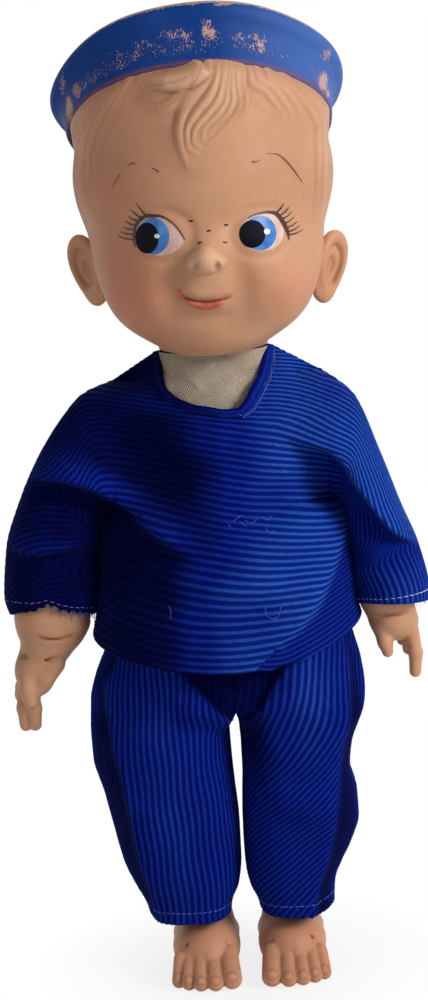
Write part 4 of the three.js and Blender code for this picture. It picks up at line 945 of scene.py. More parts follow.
# %% Eyes
RIGHT_EYE = [  # the doll's right, which is on the left of the photograph, in pixels
    (135, 241), (135.5, 231), (140, 222), (148, 217), (157, 216.5), (167, 219.5), (176.5, 228), (185, 240),
    (180, 247), (172, 252.5), (161, 255.5), (149, 254.5), (140, 250),
]
LEFT_EYE = [
    (239.5, 235), (241.5, 226), (247.5, 219), (258, 214.5), (268, 213.6), (277, 217), (282.5, 226),
    (283.5, 235), (280, 243), (272, 249), (261, 251), (250, 248.5), (242.5, 243),
]
EYE_OVALS = [  # name, finish, coats below, rings of faces, then each oval's middle and half sizes
    ("eye_irises", eye_blue, 2, 7, ((153.4, 236.2), (16, 18.2)), ((260, 233), (16.2, 17.2))),
    ("eye_pupils", eye_black, 3, 7, ((147.2, 238), (11.6, 15.4)), ((252.2, 234), (13, 13.8))),
    ("eye_glints", eye_glint, 4, 3, ((157.4, 236.2), (2.7, 2.2)), ((266.7, 231.6), (3.1, 3.0))),
]
paint_piece("eye_whites", [patch(RIGHT_EYE, 1), patch(LEFT_EYE, 1)], eye_white)
for name, finish, coats, rings, *ovals in EYE_OVALS:
    paint_piece(name, [patch(oval(middle, half), coats, rings) for middle, half in ovals], finish)

# %% Lids, lashes, brows and freckles
RIGHT_LID = [
    (185.2, 240), (178.5, 229.5), (170, 221), (158, 216), (148, 216), (140, 220.5), (135.5, 229),
    (134.3, 241), (136, 247),
]
LEFT_LID = [
    (247.8, 218.5), (253, 215.5), (260, 213.3), (267, 212.2), (273.6, 212.8), (279, 217), (283, 223),
    (286.5, 230), (288.4, 236.5),
]
LASHES = [  # root and tip in pixels
    ((147, 216), (136.2, 202.6)), ((141, 217.6), (130.7, 209)), ((137.2, 221), (128.6, 215.9)),
    ((135.8, 225.4), (125.8, 221)), ((135, 229.7), (123.4, 227.1)), ((134.1, 234.3), (120.3, 231.7)),
    ((133.8, 239.6), (118.3, 236)), ((276.2, 212.8), (283.6, 203)), ((279.7, 215.5), (288.8, 206.8)),
    ((281.9, 219), (291.2, 212)), ((283.6, 223.7), (294, 216.8)), ((285.7, 228), (296.9, 221.6)),
    ((287.4, 231.9), (299.5, 225.7)), ((288.3, 235), (302.6, 229.7)), ((288, 235), (289, 240)),
]
LASH_BEND = 0.9
BROWS = [  # line in pixels, and widths along it
    ([(112.6, 187.5), (116, 180.5), (120.3, 174.6)], (0.8, 1.6, 1.3)),
    ([(128, 165.2), (132, 163.6), (135.8, 163.7)], (1.2, 1.8, 0.8)),
    ([(151.3, 167.7), (155, 169.5), (159, 172)], (0.8, 1.6, 2.4)),
    ([(251.3, 161.6), (255, 162), (260.7, 159.8)], (2.0, 1.8, 0.7)),
    ([(265.9, 153.5), (275.4, 153.9), (285.7, 160.8), (294.3, 171), (302.9, 183.2)],
     (0.7, 1.7, 2.2, 1.8, 0.7)),
]
FRECKLES = [  # middle in pixels, and turn
    ((191, 221), 0.05), ((208.7, 230.9), -0.3), ((199.6, 242.6), -0.35), ((226, 224.9), -0.15),
    ((225, 242.3), 0.1),
]
FRECKLE_HALF = (2.5, 1.1)
lids = [stroke(RIGHT_LID, (1.0, 1.3, 1.5, 2.0, 3.4, 4.0, 2.6, 1.8, 1.0), 5, 60),
        stroke(LEFT_LID, (0.8, 1.2, 1.8, 2.6, 3.4, 4.0, 3.8, 3.2, 1.6), 5, 60)]
for root, tip in LASHES:
    bend = ((root[0] + tip[0]) / 2, (root[1] + tip[1]) / 2 + LASH_BEND)
    lids.append(stroke([root, bend, tip], (1.7, 1.2, 0.5), 5, 12))
freckles = [patch(oval(middle, FRECKLE_HALF, turn), 1, 3) for middle, turn in FRECKLES]
paint_piece("lids_and_lashes", lids, brown_line)
paint_piece("brows", [stroke(line, widths, 1, 24) for line, widths in BROWS], brow_brown)
paint_piece("freckles", freckles, brown_line)

# %% Lips
LIPS = [
    (181.5, 296), (186, 298.4), (196, 300.2), (206.5, 300), (220, 298.4), (230, 296.6), (226, 301.5),
    (220, 305.8), (206.5, 310), (192, 306.6), (185, 301.5),
]
LIP_CORNER = [(185, 299), (180.5, 296), (178.6, 292.5), (181.5, 289.6)]
LIP_PARTING = [(184, 298.8), (196, 301.6), (206.5, 302.2), (219, 300.6), (229, 297.2)]
SMEARS = [  # line in pixels, and widths along it
    ([(212, 296), (215.5, 291.6), (222, 290), (227, 292), (227.5, 296)], (0.8, 1.8, 2.2, 1.8, 0.8)),
    ([(214, 296.4), (219, 293.6), (225, 295)], (0.8, 1.6, 0.8)),
]
paint_piece("lips", [patch(LIPS, 3, 16), stroke(LIP_CORNER, (3.2, 4.4, 4.4, 2.4), 4, 20)], lip_coral)
paint_piece("lip_parting", [stroke(LIP_PARTING, (1.0, 1.7, 2.0, 1.6, 0.6), 6, 40)], lip_dark)
paint_piece("lip_smear", [stroke(line, widths, 3, 24) for line, widths in SMEARS], lip_pale)

# %% [markdown]
# ## Ears, arms and legs
# These are rounded lumps that run into each other, so each is a distance formula: capsules and egg shapes
# joined by a soft minimum. A surface net then finds the skin of the formula on a fine grid of cells and puts
# one point in each cell that the skin crosses. It gives even faces where a grid of rings would pinch between
# fingers and toes.

# %% Surface net


def surface_net(name, formula, low, high, step, finish, stain_and_shade, blush_and_shade=0.0):
    """A piece whose skin is where the formula is zero, between two corners.

    A function of the points gives the painted shade in its grooves and creases and some darker spots,
    and a number gives how pink it is.
    """
    axes = [np.arange(a, b + step, step) for a, b in zip(low, high)]
    value = formula(np.stack(np.meshgrid(*axes, indexing="ij"), -1))
    cells = np.array(value.shape) - 1
    total, count = np.zeros((*cells, 3)), np.zeros(cells)
    quads = []
    for axis in range(3):
        before = np.take(value, range(cells[axis]), axis)
        behind = np.take(value, range(1, cells[axis] + 1), axis)
        cross = (before < 0) != (behind < 0)
        edge = np.argwhere(cross)
        first, second = [k for k in range(3) if k != axis]
        inner = (edge[:, first] > 0) & (edge[:, second] > 0)
        inner &= (edge[:, first] < cells[first]) & (edge[:, second] < cells[second])
        edge = edge[inner]
        spot = edge.astype(float)
        spot[:, axis] += (before[cross] / (before[cross] - behind[cross]))[inner]
        corners = []
        for back_first, back_second in ((0, 0), (1, 0), (1, 1), (0, 1)):
            cell = edge.copy()
            cell[:, first] -= back_first
            cell[:, second] -= back_second
            np.add.at(total, tuple(cell.T), spot)
            np.add.at(count, tuple(cell.T), 1)
            corners.append(np.ravel_multi_index(tuple(cell.T), cells))
        quad = np.stack(corners, 1)
        flip = (before[cross][inner] > 0) != (axis == 1)
        quads.append(np.where(flip[:, None], quad[:, ::-1], quad))
    used = np.flatnonzero(count.ravel())
    number = renumber(used, count.size)
    points = np.array(low) + total.reshape(-1, 3)[used] / count.ravel()[used, None] * step
    marks = {"shade_and_dirt": stain_and_shade(points), "blush_and_shade": np.full(len(points), blush_and_shade)}
    return make_piece(name, points, number[np.concatenate(quads)], finish, marks=marks)


def capsule(p, a, b, radius_a, radius_b):
    """Distance to a rod with round ends whose radius changes along it."""
    a, b = np.array(a, float), np.array(b, float)
    along = np.clip(((p - a) @ (b - a)) / ((b - a) @ (b - a)), 0, 1)
    away = np.linalg.norm(p - a - along[..., None] * (b - a), axis=-1)
    return away - radius_a - along * (radius_b - radius_a)


def join(a, b, softness):
    """The soft minimum of two distances."""
    share = np.clip(0.5 + 0.5 * (b - a) / softness, 0, 1)
    return b + (a - b) * share - softness * share * (1 - share)


def carve(a, b, softness):
    """Distance a with b softly cut away."""
    return -join(-a, b, softness)


def chain(p, stations, softness):
    """Rods through (point, radius) stations, softly joined."""
    rods = [capsule(p, a, b, ra, rb) for (a, ra), (b, rb) in zip(stations[:-1], stations[1:])]
    body = rods[0]
    for rod in rods[1:]:
        body = join(body, rod, softness)
    return body


# %% Ears
EARS = {"left": (1, np.array([37.8, 0.5, 227.2])), "right": (-1, np.array([-37.8, 0.5, 230.6]))}
EAR_TURN, EAR_LEAN = 0.75, 0.36
EAR_HALF_HEIGHT, EAR_HALF_WIDTH = 11.0, 6.6
EAR_ROOM, EAR_STEP = np.array([12, 11, 15]), 0.42


def ear_place(p, side, at):
    """A point's width out from an ear's middle, height, depth towards the face, and ring round the middle."""
    q = (p - at) * (side, 1, 1)
    out = q[..., 0] * math.cos(EAR_TURN) + q[..., 1] * math.sin(EAR_TURN)
    face = q[..., 0] * math.sin(EAR_TURN) - q[..., 1] * math.cos(EAR_TURN)
    high = q[..., 2] * math.cos(EAR_LEAN) + out * math.sin(EAR_LEAN)
    wide = out * math.cos(EAR_LEAN) - q[..., 2] * math.sin(EAR_LEAN)
    taper = 0.84 + 0.24 * high / EAR_HALF_HEIGHT
    return wide, high, face, np.hypot(wide / (EAR_HALF_WIDTH * taper), high / EAR_HALF_HEIGHT)


def ear_formula(side, at):
    def formula(p):
        wide, high, face, ring = ear_place(p, side, at)
        helix = np.hypot((ring - 0.82) * 8.2, face - 0.9) - 1.75
        plate = np.maximum(np.abs(face + 1.3) - 1.0, (ring - 0.86) * 7)
        fold = np.hypot((ring - 0.44) * 7, face + 0.1) - 0.75 - 0.5 * bell(high - 3, 4)
        lobe = egg(np.stack([wide, high, face], -1), (-0.6, -8.6, 0.4), (4.2, 3.6, 2.2))
        root = egg(np.stack([wide, high, face], -1), (-5.2, -1.0, -0.6), (3.4, 7.5, 2.6))
        return join(join(join(join(helix, plate, 1.2), fold, 1.0), lobe, 1.5), root, 1.5)
    return formula


def ear_shade(side, at):
    def stain_and_shade(p):
        _, high, face, ring = ear_place(p, side, at)
        # painted shade in the ear's hollows
        shading = 0.3 * bell(ring - 0.63, 0.14) + 0.28 * bell(ring, 0.3)
        return shading * ease(high, -8, -3) * ease(face, -1.6, -0.4)
    return stain_and_shade


for name, (side, at) in EARS.items():
    ear = surface_net(name + "_ear", ear_formula(side, at), at - EAR_ROOM, at + EAR_ROOM, EAR_STEP, vinyl,
                      ear_shade(side, at))
    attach(ear, "head")

# %% Arms
ARM_STEP = 0.46
PEG_RADIUS, PEG_IN, PEG_OUT, SHOULDER_Z = 6.0, 24, 37, 180


def arm_formula(sign, line, palm, thumb, fingers, creases):
    """The distance formula of an arm with its hand, its creases and its peg."""
    def formula(p):
        arm = join(chain(p, line, 4), egg(p, *palm), 3.5)
        for knuckle, middle, tip, radius in fingers:
            lower = capsule(p, knuckle, middle, radius * 1.08, radius)
            arm = join(arm, join(lower, capsule(p, middle, tip, radius, radius * 0.86), 1.0), 0.9)
        root, middle, tip, radius = thumb
        ball = capsule(p, root, middle, radius * 1.25, radius * 1.05)
        arm = join(arm, join(ball, capsule(p, middle, tip, radius, radius * 0.8), 1), 1.2)
        for a, b, depth in creases:
            arm = carve(arm, capsule(p, a, b, depth, depth), 1.1)
        inner, outer = (sign * PEG_IN, 0, SHOULDER_Z), (sign * PEG_OUT, 0, SHOULDER_Z)
        return join(arm, capsule(p, inner, outer, PEG_RADIUS, PEG_RADIUS), 0.6)
    return formula


def arm_darkening(creases, dark_spots):
    """Painted shade in the creases of an arm, and darker spots in its dimples."""
    def stain_and_shade(p):
        shading = sum(0.5 * bell(capsule(p, a, b, 0, 0), depth + 0.9) for a, b, depth in creases)
        spotted = sum(0.45 * bell(np.linalg.norm(p - spot[:3], axis=-1), spot[3]) for spot in dark_spots)
        return np.clip(shading + spotted, 0, 1)
    return stain_and_shade


# %% Left arm
LEFT_ARM_LINE = [  # place and radius, from the shoulder to the wrist
    ((36, 0, 180), 7.2), ((43, 0, 165), 5.2), ((46.8, 0, 150), 6.0), ((50, -0.5, 135), 8.0),
    ((50.8, -1.5, 121), 8.3), ((51.8, -2, 114.5), 7.0),
]
LEFT_PALM = ((53.0, -2, 111.4), (7.3, 6.0, 5.6))  # middle and half sizes
LEFT_THUMB = ((48.4, -4.5, 110.5), (49.2, -6.0, 106), (49.8, -6.2, 102.9), 2.3)
LEFT_FINGERS = [  # knuckle, middle joint, tip, radius
    ((58.0, -3.6, 108.5), (58.9, -4.4, 101.5), (58.5, -4.4, 95.4), 2.2),
    ((56.8, -1.6, 108), (57.2, -2.0, 104.5), (56.8, -1.8, 102.4), 2.2),
    ((55.2, 0.6, 108), (55.6, 0.8, 106), (55.2, 0.8, 104.8), 2.1),
    ((53.8, 2.6, 108.5), (54.2, 3.2, 107), (54.0, 3.4, 106), 2.0),
]
LEFT_CREASES = [((45.5, -8.6, 115.4), (58.5, -8.6, 116), 0.6)]  # ends and depth
LEFT_DARK_SPOTS = [  # x, y, z, reach
    (46.4, -6.5, 113.6, 3.0), (58.6, -7.0, 110.6, 0.7), (52.4, -6.5, 107.2, 1.3), (57.2, -5.6, 104.2, 1.2),
]
left_formula = arm_formula(1, LEFT_ARM_LINE, LEFT_PALM, LEFT_THUMB, LEFT_FINGERS, LEFT_CREASES)
left_arm = surface_net("left_doll_arm", left_formula, (16, -14, 86), (66, 13, 194), ARM_STEP, vinyl,
                       arm_darkening(LEFT_CREASES, LEFT_DARK_SPOTS))

# %% Right arm
RIGHT_ARM_LINE = [
    ((-38, 0, 180), 7.2), ((-47.2, 0, 165), 5.6), ((-52, 0, 150), 7.0), ((-54.8, -0.5, 134), 10.4),
    ((-57.2, -1, 119), 11.4), ((-59.4, -2, 110.6), 7.6),
]
RIGHT_PALM = ((-63.6, -1.5, 102.5), (6.7, 7.0, 8.4))
RIGHT_THUMB = ((-56.9, -5.0, 105.2), (-60.2, -6.6, 100.6), (-63.2, -7.0, 97.2), 2.6)
RIGHT_FINGERS = [
    ((-66.0, -5.5, 101), (-65.9, -8.2, 97.5), (-65.3, -8.6, 94.0), 2.7),
    ((-65.4, -3.0, 97), (-64.7, -5.0, 91), (-64.7, -5.2, 85.8), 2.5),
    ((-67.4, -1.5, 97), (-68.0, -3.6, 91), (-67.8, -4.0, 85.4), 2.3),
    ((-68.2, 1.4, 97), (-68.4, 0.6, 94.4), (-68.2, 0.4, 92.6), 2.4),
]
RIGHT_CREASES = [
    ((-71, -4.0, 108.8), (-53, -10.0, 107.2), 0.8), ((-60.5, -11.6, 115.4), (-50.5, -10.4, 114.6), 0.6),
]
RIGHT_DARK_SPOTS = [
    (-63.9, -7.4, 85.9, 0.8), (-65.3, -10, 91.8, 0.9), (-66.3, -6.6, 87.8, 0.9), (-63.0, -8.6, 98.6, 1.1),
    (-66.0, -9, 114.5, 3.0), (-70, -4, 106.5, 1.6),
]
right_formula = arm_formula(-1, RIGHT_ARM_LINE, RIGHT_PALM, RIGHT_THUMB, RIGHT_FINGERS, RIGHT_CREASES)
right_arm = surface_net("right_doll_arm", right_formula, (-73, -16, 80), (-16, 13, 194), ARM_STEP, vinyl,
                        arm_darkening(RIGHT_CREASES, RIGHT_DARK_SPOTS))
for piece, side in ((left_arm, "left"), (right_arm, "right")):
    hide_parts(side + "_arm")
    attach(piece, side + "_arm")

# %% Legs
LEG_STEP = 0.5
FOOT_X = 14
LEG_LINE = [((22.5, 0, 92), 12.6), ((20.5, 0, 62), 11.4), ((15.5, 1, 34), 9.6), ((14, 2, 16), 9.0)]
TOES = [  # x from the foot's middle, radius, y of the tip
    (-7.6, 3.3, -29.6), (-2.3, 2.75, -30.2), (2.3, 2.6, -29.4), (6.2, 2.45, -27.6), (9.4, 2.3, -24.8),
]
TOE_ROOT_Y, TOE_ROOT_Z = -17.5, 8.4
SOLE_Z = 0.02


def toe_rod(q, x, radius, tip):
    """Distance to a toe."""
    root = (FOOT_X + x * 0.92, TOE_ROOT_Y, TOE_ROOT_Z)
    return capsule(q, root, (FOOT_X + x, tip + radius, radius + 0.3), radius * 0.95, radius)


def nail_ring(q, x, radius, tip):
    """Which ring round the middle of a toe's nail a point is on; 1 is the nail's edge."""
    return np.linalg.norm((q - (FOOT_X + x, tip + 0.9, radius + 1.9)) / (radius * 0.62, 1.5, 1.6), axis=-1)


def leg_formula(side):
    def formula(p):
        q = p * (side, 1, 1)
        flat = (q - (FOOT_X, 0, 0)) / (1.34, 1, 1)
        sole = capsule(flat, (0, 8, 8.2), (0, -15, 5.4), 8.2, 6.0)
        foot = join(sole, egg(q, (FOOT_X, -6, 9), (10.4, 15, 9.5)), 4)
        leg = join(chain(q, LEG_LINE, 5), foot, 4)
        for toe in TOES:
            leg = join(leg, toe_rod(q, *toe), 0.55)
        for toe in TOES[:-1]:
            dimple = (FOOT_X + toe[0] * 0.95, TOE_ROOT_Y + 1.5, TOE_ROOT_Z + 3.9)
            leg = carve(leg, egg(q, dimple, (0.7, 0.8, 0.8)), 0.9)
            leg = leg + 0.22 * bell(nail_ring(q, *toe) - 1, 0.22)
        leg = join(leg, capsule(q, (10, 0, 100), (22.5, 0, 96), PEG_RADIUS, 9), 2)
        return np.maximum(leg, SOLE_Z - q[..., 2])
    return formula


def leg_shade(side):
    """Painted shade between the toes, round their nails and in the dimples behind them."""
    def stain_and_shade(p):
        q = p * (side, 1, 1)
        shading = np.zeros(len(p))
        for toe in TOES:
            dimple = (FOOT_X + toe[0] * 0.95, TOE_ROOT_Y + 1.5, TOE_ROOT_Z + 3.4)
            in_dimple = bell(np.linalg.norm(q - dimple, axis=-1), 1.2)
            shading += 0.6 * bell(nail_ring(q, *toe) - 1, 0.3) + 0.22 * in_dimple
        nearest = np.sort(np.stack([toe_rod(q, *toe) for toe in TOES]), axis=0)
        between = bell(nearest[1] - nearest[0], 0.7) * ease(-q[:, 1], 19, 22) * bell(nearest[0], 2)
        return np.clip(shading + 0.9 * between, 0, 1)
    return stain_and_shade


LEG_BLUSH = 0.7
for side, sign in (("left", 1), ("right", -1)):
    x_low, x_high = sorted((0.4 * sign, 37 * sign))
    leg = surface_net(side + "_doll_leg", leg_formula(sign), (x_low, -34, -1), (x_high, 19, 108), LEG_STEP,
                      vinyl, leg_shade(sign), LEG_BLUSH)
    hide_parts(side + "_leg")
    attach(leg, side + "_leg")

# %% [markdown]
# ## Pullover
# The pullover is cut like a T: a front, a back that opens down its middle, where the left half laps over the
# right, and sleeves that run straight on from the shoulders. Cloth simulation could drop it on the body, but
# its folds would not be the photograph's, and a simulated grid this fine is slow. Here each panel is a grid
# that follows the body, pushed out along the folds drawn from the photograph, and every wale is a real ridge.
# Hems are turned in, so the edges have the cloth's double thickness.

# %% Wales and hems
WALE_RISE = 0.32
HEM_ROLL = 0.75
HEM_DEEP = (0.4, 2.5, 6.0)


def add_wales(points, across, normal):
    """Pushes a grid of points out along its normals by the ridges of the corduroy."""
    ridge = 0.5 + 0.5 * np.cos(2 * math.pi * across / WALE_PITCH)
    return points + normal * (WALE_RISE * ridge)[..., None]


def keep_off(points, skins, gap):
    """Pushes cloth forwards or backwards until it clears the skins under it."""
    flat = points.reshape(-1, 3).copy()
    for k, (x, y, z) in enumerate(flat):
        side = -1 if y < 0 else 1
        for skin in skins:
            hit = skin.ray_cast(Vector((x * MM, side * 0.2, z * MM)), Vector((0, -side, 0)))[0]
            if hit is not None:
                flat[k, 1] = side * max(side * flat[k, 1], side * hit.y / MM + gap)
    return flat.reshape(points.shape)


def turn_in(points, across, outward):
    """Adds a turned-in hem before the first row of a grid."""
    normal = grid_normals(points, outward)
    run = np.linalg.norm(np.diff(points, axis=0), axis=-1).cumsum(0).mean(1)
    rows, marks = [], []
    for deep in HEM_DEEP[::-1]:
        k = int(np.searchsorted(run, deep))
        rows.append(points[k] - normal[k] * 2 * HEM_ROLL)
        marks.append(across[k])
    edge = points[0] - normal[0] * HEM_ROLL - (points[1] - points[0]) * 0.8
    return np.concatenate([rows, edge[None], points]), np.concatenate([marks, across[:1], across])


body_skins = [skin_of(piece) for piece in (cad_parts["torso"], left_arm, right_arm)]
print("wales:", WALE_PITCH, "mm apart;", len(body_skins), "skins under the cloth")

# %% Folds of the front
BELLY_TURN = [(15, 114), (28, 126.5), (39.2, 147.4)]  # where the belly turns to the left side, as (x, z)
FOLDS = [  # line of (x, z) from left to right, rise, reach above, reach below, dip below and its distance
    ([(-68, 166), (-54, 168), (-43.4, 165.5), (-31.3, 157.5), (-17.5, 148), (-6, 141)],
     5.6, 7, 2.4, 4.2, 5.5),
    ([(-52, 184), (-40, 180), (-28, 173), (-14, 169), (4, 166)], -3.6, 7, 7, 0, 1),
    ([(-46, 190), (-31.7, 190.5), (-19, 188.6), (0, 184.5)], 1.6, 3.5, 3.5, 0, 1),
    ([(-80, 149), (-60, 144.6), (-40, 146)], 2.4, 6, 1.6, 1.8, 4),
    ([(16, 178), (25, 175.3), (35.8, 170.3), (43.6, 157.7), (52.4, 145.1), (60.6, 138.5), (66, 134)],
     5.4, 9, 1.3, 5.0, 4),
    ([(8, 160), (26.5, 159.5), (40.5, 150.9)], -1.6, 5, 5, 0, 1),
    (BELLY_TURN, 2.6, 5, 2.6, 1.6, 4),
    ([(-36, 131), (-20, 122), (-6, 119)], 1.2, 6, 6, 0, 1),
    ([(-30, 143), (-12, 134), (10, 131), (24, 136)], 1.0, 6, 4, 0.8, 6),
]


def fold_height(x, z):
    """How far the front's cloth stands forward, from all its folds."""
    height = 0.35 * np.sin(0.21 * x + 0.13 * z) + 0.3 * np.sin(0.17 * x - 0.24 * z + 1.3)
    for line, rise, reach_above, reach_below, dip, dip_at in FOLDS:
        gap, side, share = to_line(x, z, smooth_line(line, 24))
        ends = ease(share, 0, 0.3) * (1 - ease(share, 0.7, 1))
        crest = rise * np.where(side > 0, bell(gap, reach_above), bell(gap, reach_below))
        hollow = dip * (gap / dip_at) * np.exp(1 - gap / dip_at) * (side < 0)
        height = height + (crest - hollow) * ends
    return height * ease(z, 107, 122)


print("folds:", len(FOLDS))

# %% Shape of the panels
ARMHOLE_X, ARMHOLE_BOTTOM, ARMHOLE_TOP = 33.5, 155.0, 194.5
ARMHOLE_DEPTH = {"left": 18.0, "right": 16.0}
SHOULDER_IN = (18.0, 203.4)
SHIRT_HALF_WIDTHS = [  # z, and half the width there
    (100, 43), (112, 42.8), (120, 41.4), (137, 40.6), (147, 40.2), (151, 38.6), (156, ARMHOLE_X),
    (210, ARMHOLE_X),
]
FRONT_DEPTHS = [  # how far below the shoulder's line, and depth there
    (0, 0), (2, 6.5), (5, 11.5), (9, 15.5), (14, 18.5), (24, 23), (36, 26.2), (50, 29), (62, 31.8), (75, 34),
    (90, 35.8), (110, 36.8),
]
BACK_DEPTHS = [
    (0, 0), (2, 6.5), (5, 11.5), (9, 16), (14, 20), (24, 25), (36, 28), (50, 30), (62, 31), (75, 32),
    (90, 32.6), (110, 33.4),
]
FRONT_NECK = [  # x, and z of the neckline
    (-18, 203.4), (-17.6, 199), (-17, 194.6), (-15.6, 191.8), (-12, 189.2), (-7.6, 187.4), (-1.6, 186.2),
    (2.5, 185.4), (6.4, 185.6), (9.2, 188), (11.4, 191.4), (13.6, 194.6), (15.6, 199.2), (16.6, 202.4),
    (18, 203.4),
]
BACK_NECK = [(-18, 203.4), (-12, 203.2), (0, 203), (12, 203.2), (18, 203.4)]
HEM_SIDE_Z, HEM_DROP, HEM_LEFT_RISE, HEM_RIGHT_FLARE = 112.5, 6.5, 2.6, 1.4
PANEL_COLUMNS, LOWER_ROWS, UPPER_ROWS = 190, 120, 130
shoulder_slope = (SHOULDER_IN[1] - ARMHOLE_TOP) / (ARMHOLE_X - SHOULDER_IN[0])


def wale_level(x, z):
    """Distance across the wales on the body: they lean down to the left hand and follow the left shoulder."""
    level = z + 0.35 * np.maximum(0, z - 182) + 0.02 * np.maximum(0, z - 182) ** 2
    level = level + HEM_DROP * (1 - np.minimum(1, np.abs(x) / 41) ** 2) * (1 - ease(z, 106, 150))
    gap, side, _ = to_line(x, z, smooth_line(BELLY_TURN, 16))
    turned = np.where(side < 0, gap, 0) * (1 - ease(z, 128, 150))
    level = level + 0.22 * ease(z, 108, 155) * x - 0.4 * turned
    return level + 0.012 * np.maximum(0, x - 15) ** 2 * ease(z, 160, 182)


def fold_cloth(points):
    """Adds the front's folds and the back's slack, and keeps the cloth off the body."""
    x, y, z = np.moveaxis(points, -1, 0)
    back = 0.5 * np.sin(0.2 * x + 0.11 * z) + 0.9 * bell(z - 140, 14) * np.sin(0.16 * x + 1)
    shift = back * ease(y, 0, 9) - fold_height(x, z) * ease(-y, 0, 9)
    return keep_off(np.stack([x, y + shift, z], -1), body_skins, 0.9)


def shirt_panel(front, share):
    """Points of a panel; share runs from -1 at the doll's right to 1 at its left."""
    depths, neck, side = (FRONT_DEPTHS, FRONT_NECK, -1) if front else (BACK_DEPTHS, BACK_NECK, 1)
    hem = HEM_SIDE_Z - HEM_DROP * (1 - share ** 2) + HEM_LEFT_RISE * np.maximum(0, share) ** 2
    top_x = share * ARMHOLE_X
    shoulder = SHOULDER_IN[1] - (np.abs(top_x) - SHOULDER_IN[0]) * shoulder_slope
    top = np.where(np.abs(top_x) < SHOULDER_IN[0], curve(top_x, neck), shoulder)
    low = np.linspace(0, 1, LOWER_ROWS, endpoint=False)[:, None]
    high = (1 - np.cos(np.linspace(0, math.pi, UPPER_ROWS)))[:, None] / 2
    level = ARMHOLE_BOTTOM + (ARMHOLE_TOP - ARMHOLE_BOTTOM) * high + (top - ARMHOLE_TOP) * high ** 4
    z = np.concatenate([hem + (ARMHOLE_BOTTOM - hem) * low, level])
    flare = HEM_RIGHT_FLARE * np.maximum(0, -share) ** 2 * (1 - ease(z, 115, 135))
    x = curve(z, SHIRT_HALF_WIDTHS) * share - flare
    below = np.maximum(0, SHOULDER_IN[1] - (np.abs(x) - SHOULDER_IN[0]) * shoulder_slope - z)
    rise = np.clip((z - ARMHOLE_BOTTOM) / (ARMHOLE_TOP - ARMHOLE_BOTTOM) * 2 - 1, -1, 1)
    armhole = np.where(share < 0, ARMHOLE_DEPTH["right"], ARMHOLE_DEPTH["left"])
    edge = np.where(z > ARMHOLE_BOTTOM, armhole * np.sqrt(1 - rise ** 2), 0)
    deep = np.maximum(curve(below, depths), edge)
    upper = ease(z, 150, 164)
    low_bow, high_bow = np.maximum(0, 1 - np.abs(share) ** 2.3) ** 0.5, 1 - ease(np.abs(share), 0.2, 1)
    bow = low_bow * (1 - upper) + high_bow * upper
    return fold_cloth(np.stack([x, side * (edge + (deep - edge) * bow), z], -1))


# %% Front and back panels
FOLD_PAINTED_LIGHT = 0.075
BACK_LAP, LAP_LIFT = 0.07, 1.2  # how far the left half of the back lies over the right, and how much higher
SHIRT_PAINTED_LIGHT = [  # x, and how much painted light the cloth has there, darker away from the strong lamp
    (-45, 0), (-22, 0.03), (-8, 0.22), (4, 0.5), (15, 0.74), (28, 0.94), (45, 0.88),
]
PANEL_LENGTH = 60
seam_normals = {}


def panel_piece(name, front, share):
    """A panel from its columns' shares of the half width; the one that starts inside laps over the other."""
    points = shirt_panel(front, share)
    if share[0] > -1:
        points[..., 1] += LAP_LIFT * (1 - ease(share, 0.03, 0.25))
    x, z = points[..., 0], points[..., 2]
    across = wale_level(x if front else 0.3 * x, z)
    outward = 1 if front else -1
    normal = grid_normals(points, outward)
    for side, column in (("right", 0), ("left", -1)):
        if abs(share[column]) == 1:
            seam_normals[front, side] = normal[LOWER_ROWS:, column]
    points = add_wales(points, across, normal)
    points, marks = turn_in(points, across, outward)
    x, y, z = np.moveaxis(points, -1, 0)
    # painted light: darker on the doll's right, lighter on the lower belly, a painted shade where the belly
    # turns to the side, and lighter fold crests with darker hollows
    painted_light = curve(x, SHIRT_PAINTED_LIGHT)
    painted_light = painted_light + 0.36 * (1 - ease(z, 126, 154)) * bell(x + 3, 15)
    gap, past, _ = to_line(x, z, smooth_line(BELLY_TURN, 16))
    painted_light = painted_light - 0.34 * ease(gap, 0, 4) * (past < 0) * (1 - ease(z, 140, 150))
    painted_light = np.clip(painted_light + FOLD_PAINTED_LIGHT * fold_height(x, z) * (y < 0), 0, 1)
    along = np.repeat(share[None] * PANEL_LENGTH, len(points), 0)
    faces = grid_faces(*points.shape[:2])
    uv = np.stack([along, marks], -1)
    piece = make_piece(name, points, faces if front else faces[:, ::-1], corduroy, uv, {"painted_light": painted_light})
    return piece, points


front_share = np.sin(np.linspace(-1, 1, PANEL_COLUMNS) * math.pi / 2)
left_share = np.sin(np.linspace(-BACK_LAP, 1, PANEL_COLUMNS // 2) * math.pi / 2)
right_share = np.sin(np.linspace(-1, 0.02, PANEL_COLUMNS // 2) * math.pi / 2)
beside_neck = np.r_[np.linspace(-0.56, -0.44, 24), np.linspace(0.2, 0.56, 56)]
shirt_front, front_points = panel_piece("pullover_front", True, np.unique(np.r_[front_share, beside_neck]))
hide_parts("shirt_front")
back_left, back_points = panel_piece("pullover_back_left", False, left_share)
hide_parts("shirt_back_left")
back_right, _ = panel_piece("pullover_back_right", False, right_share)
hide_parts("shirt_back_right")
for piece in (shirt_front, back_left, back_right):
    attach(piece, "torso")

# %% [markdown]
# ### Sleeves
# Each sleeve starts on the armhole's own line, point for point, so no seam opens, and runs through hoops from
# the armpit side to the shoulder side.

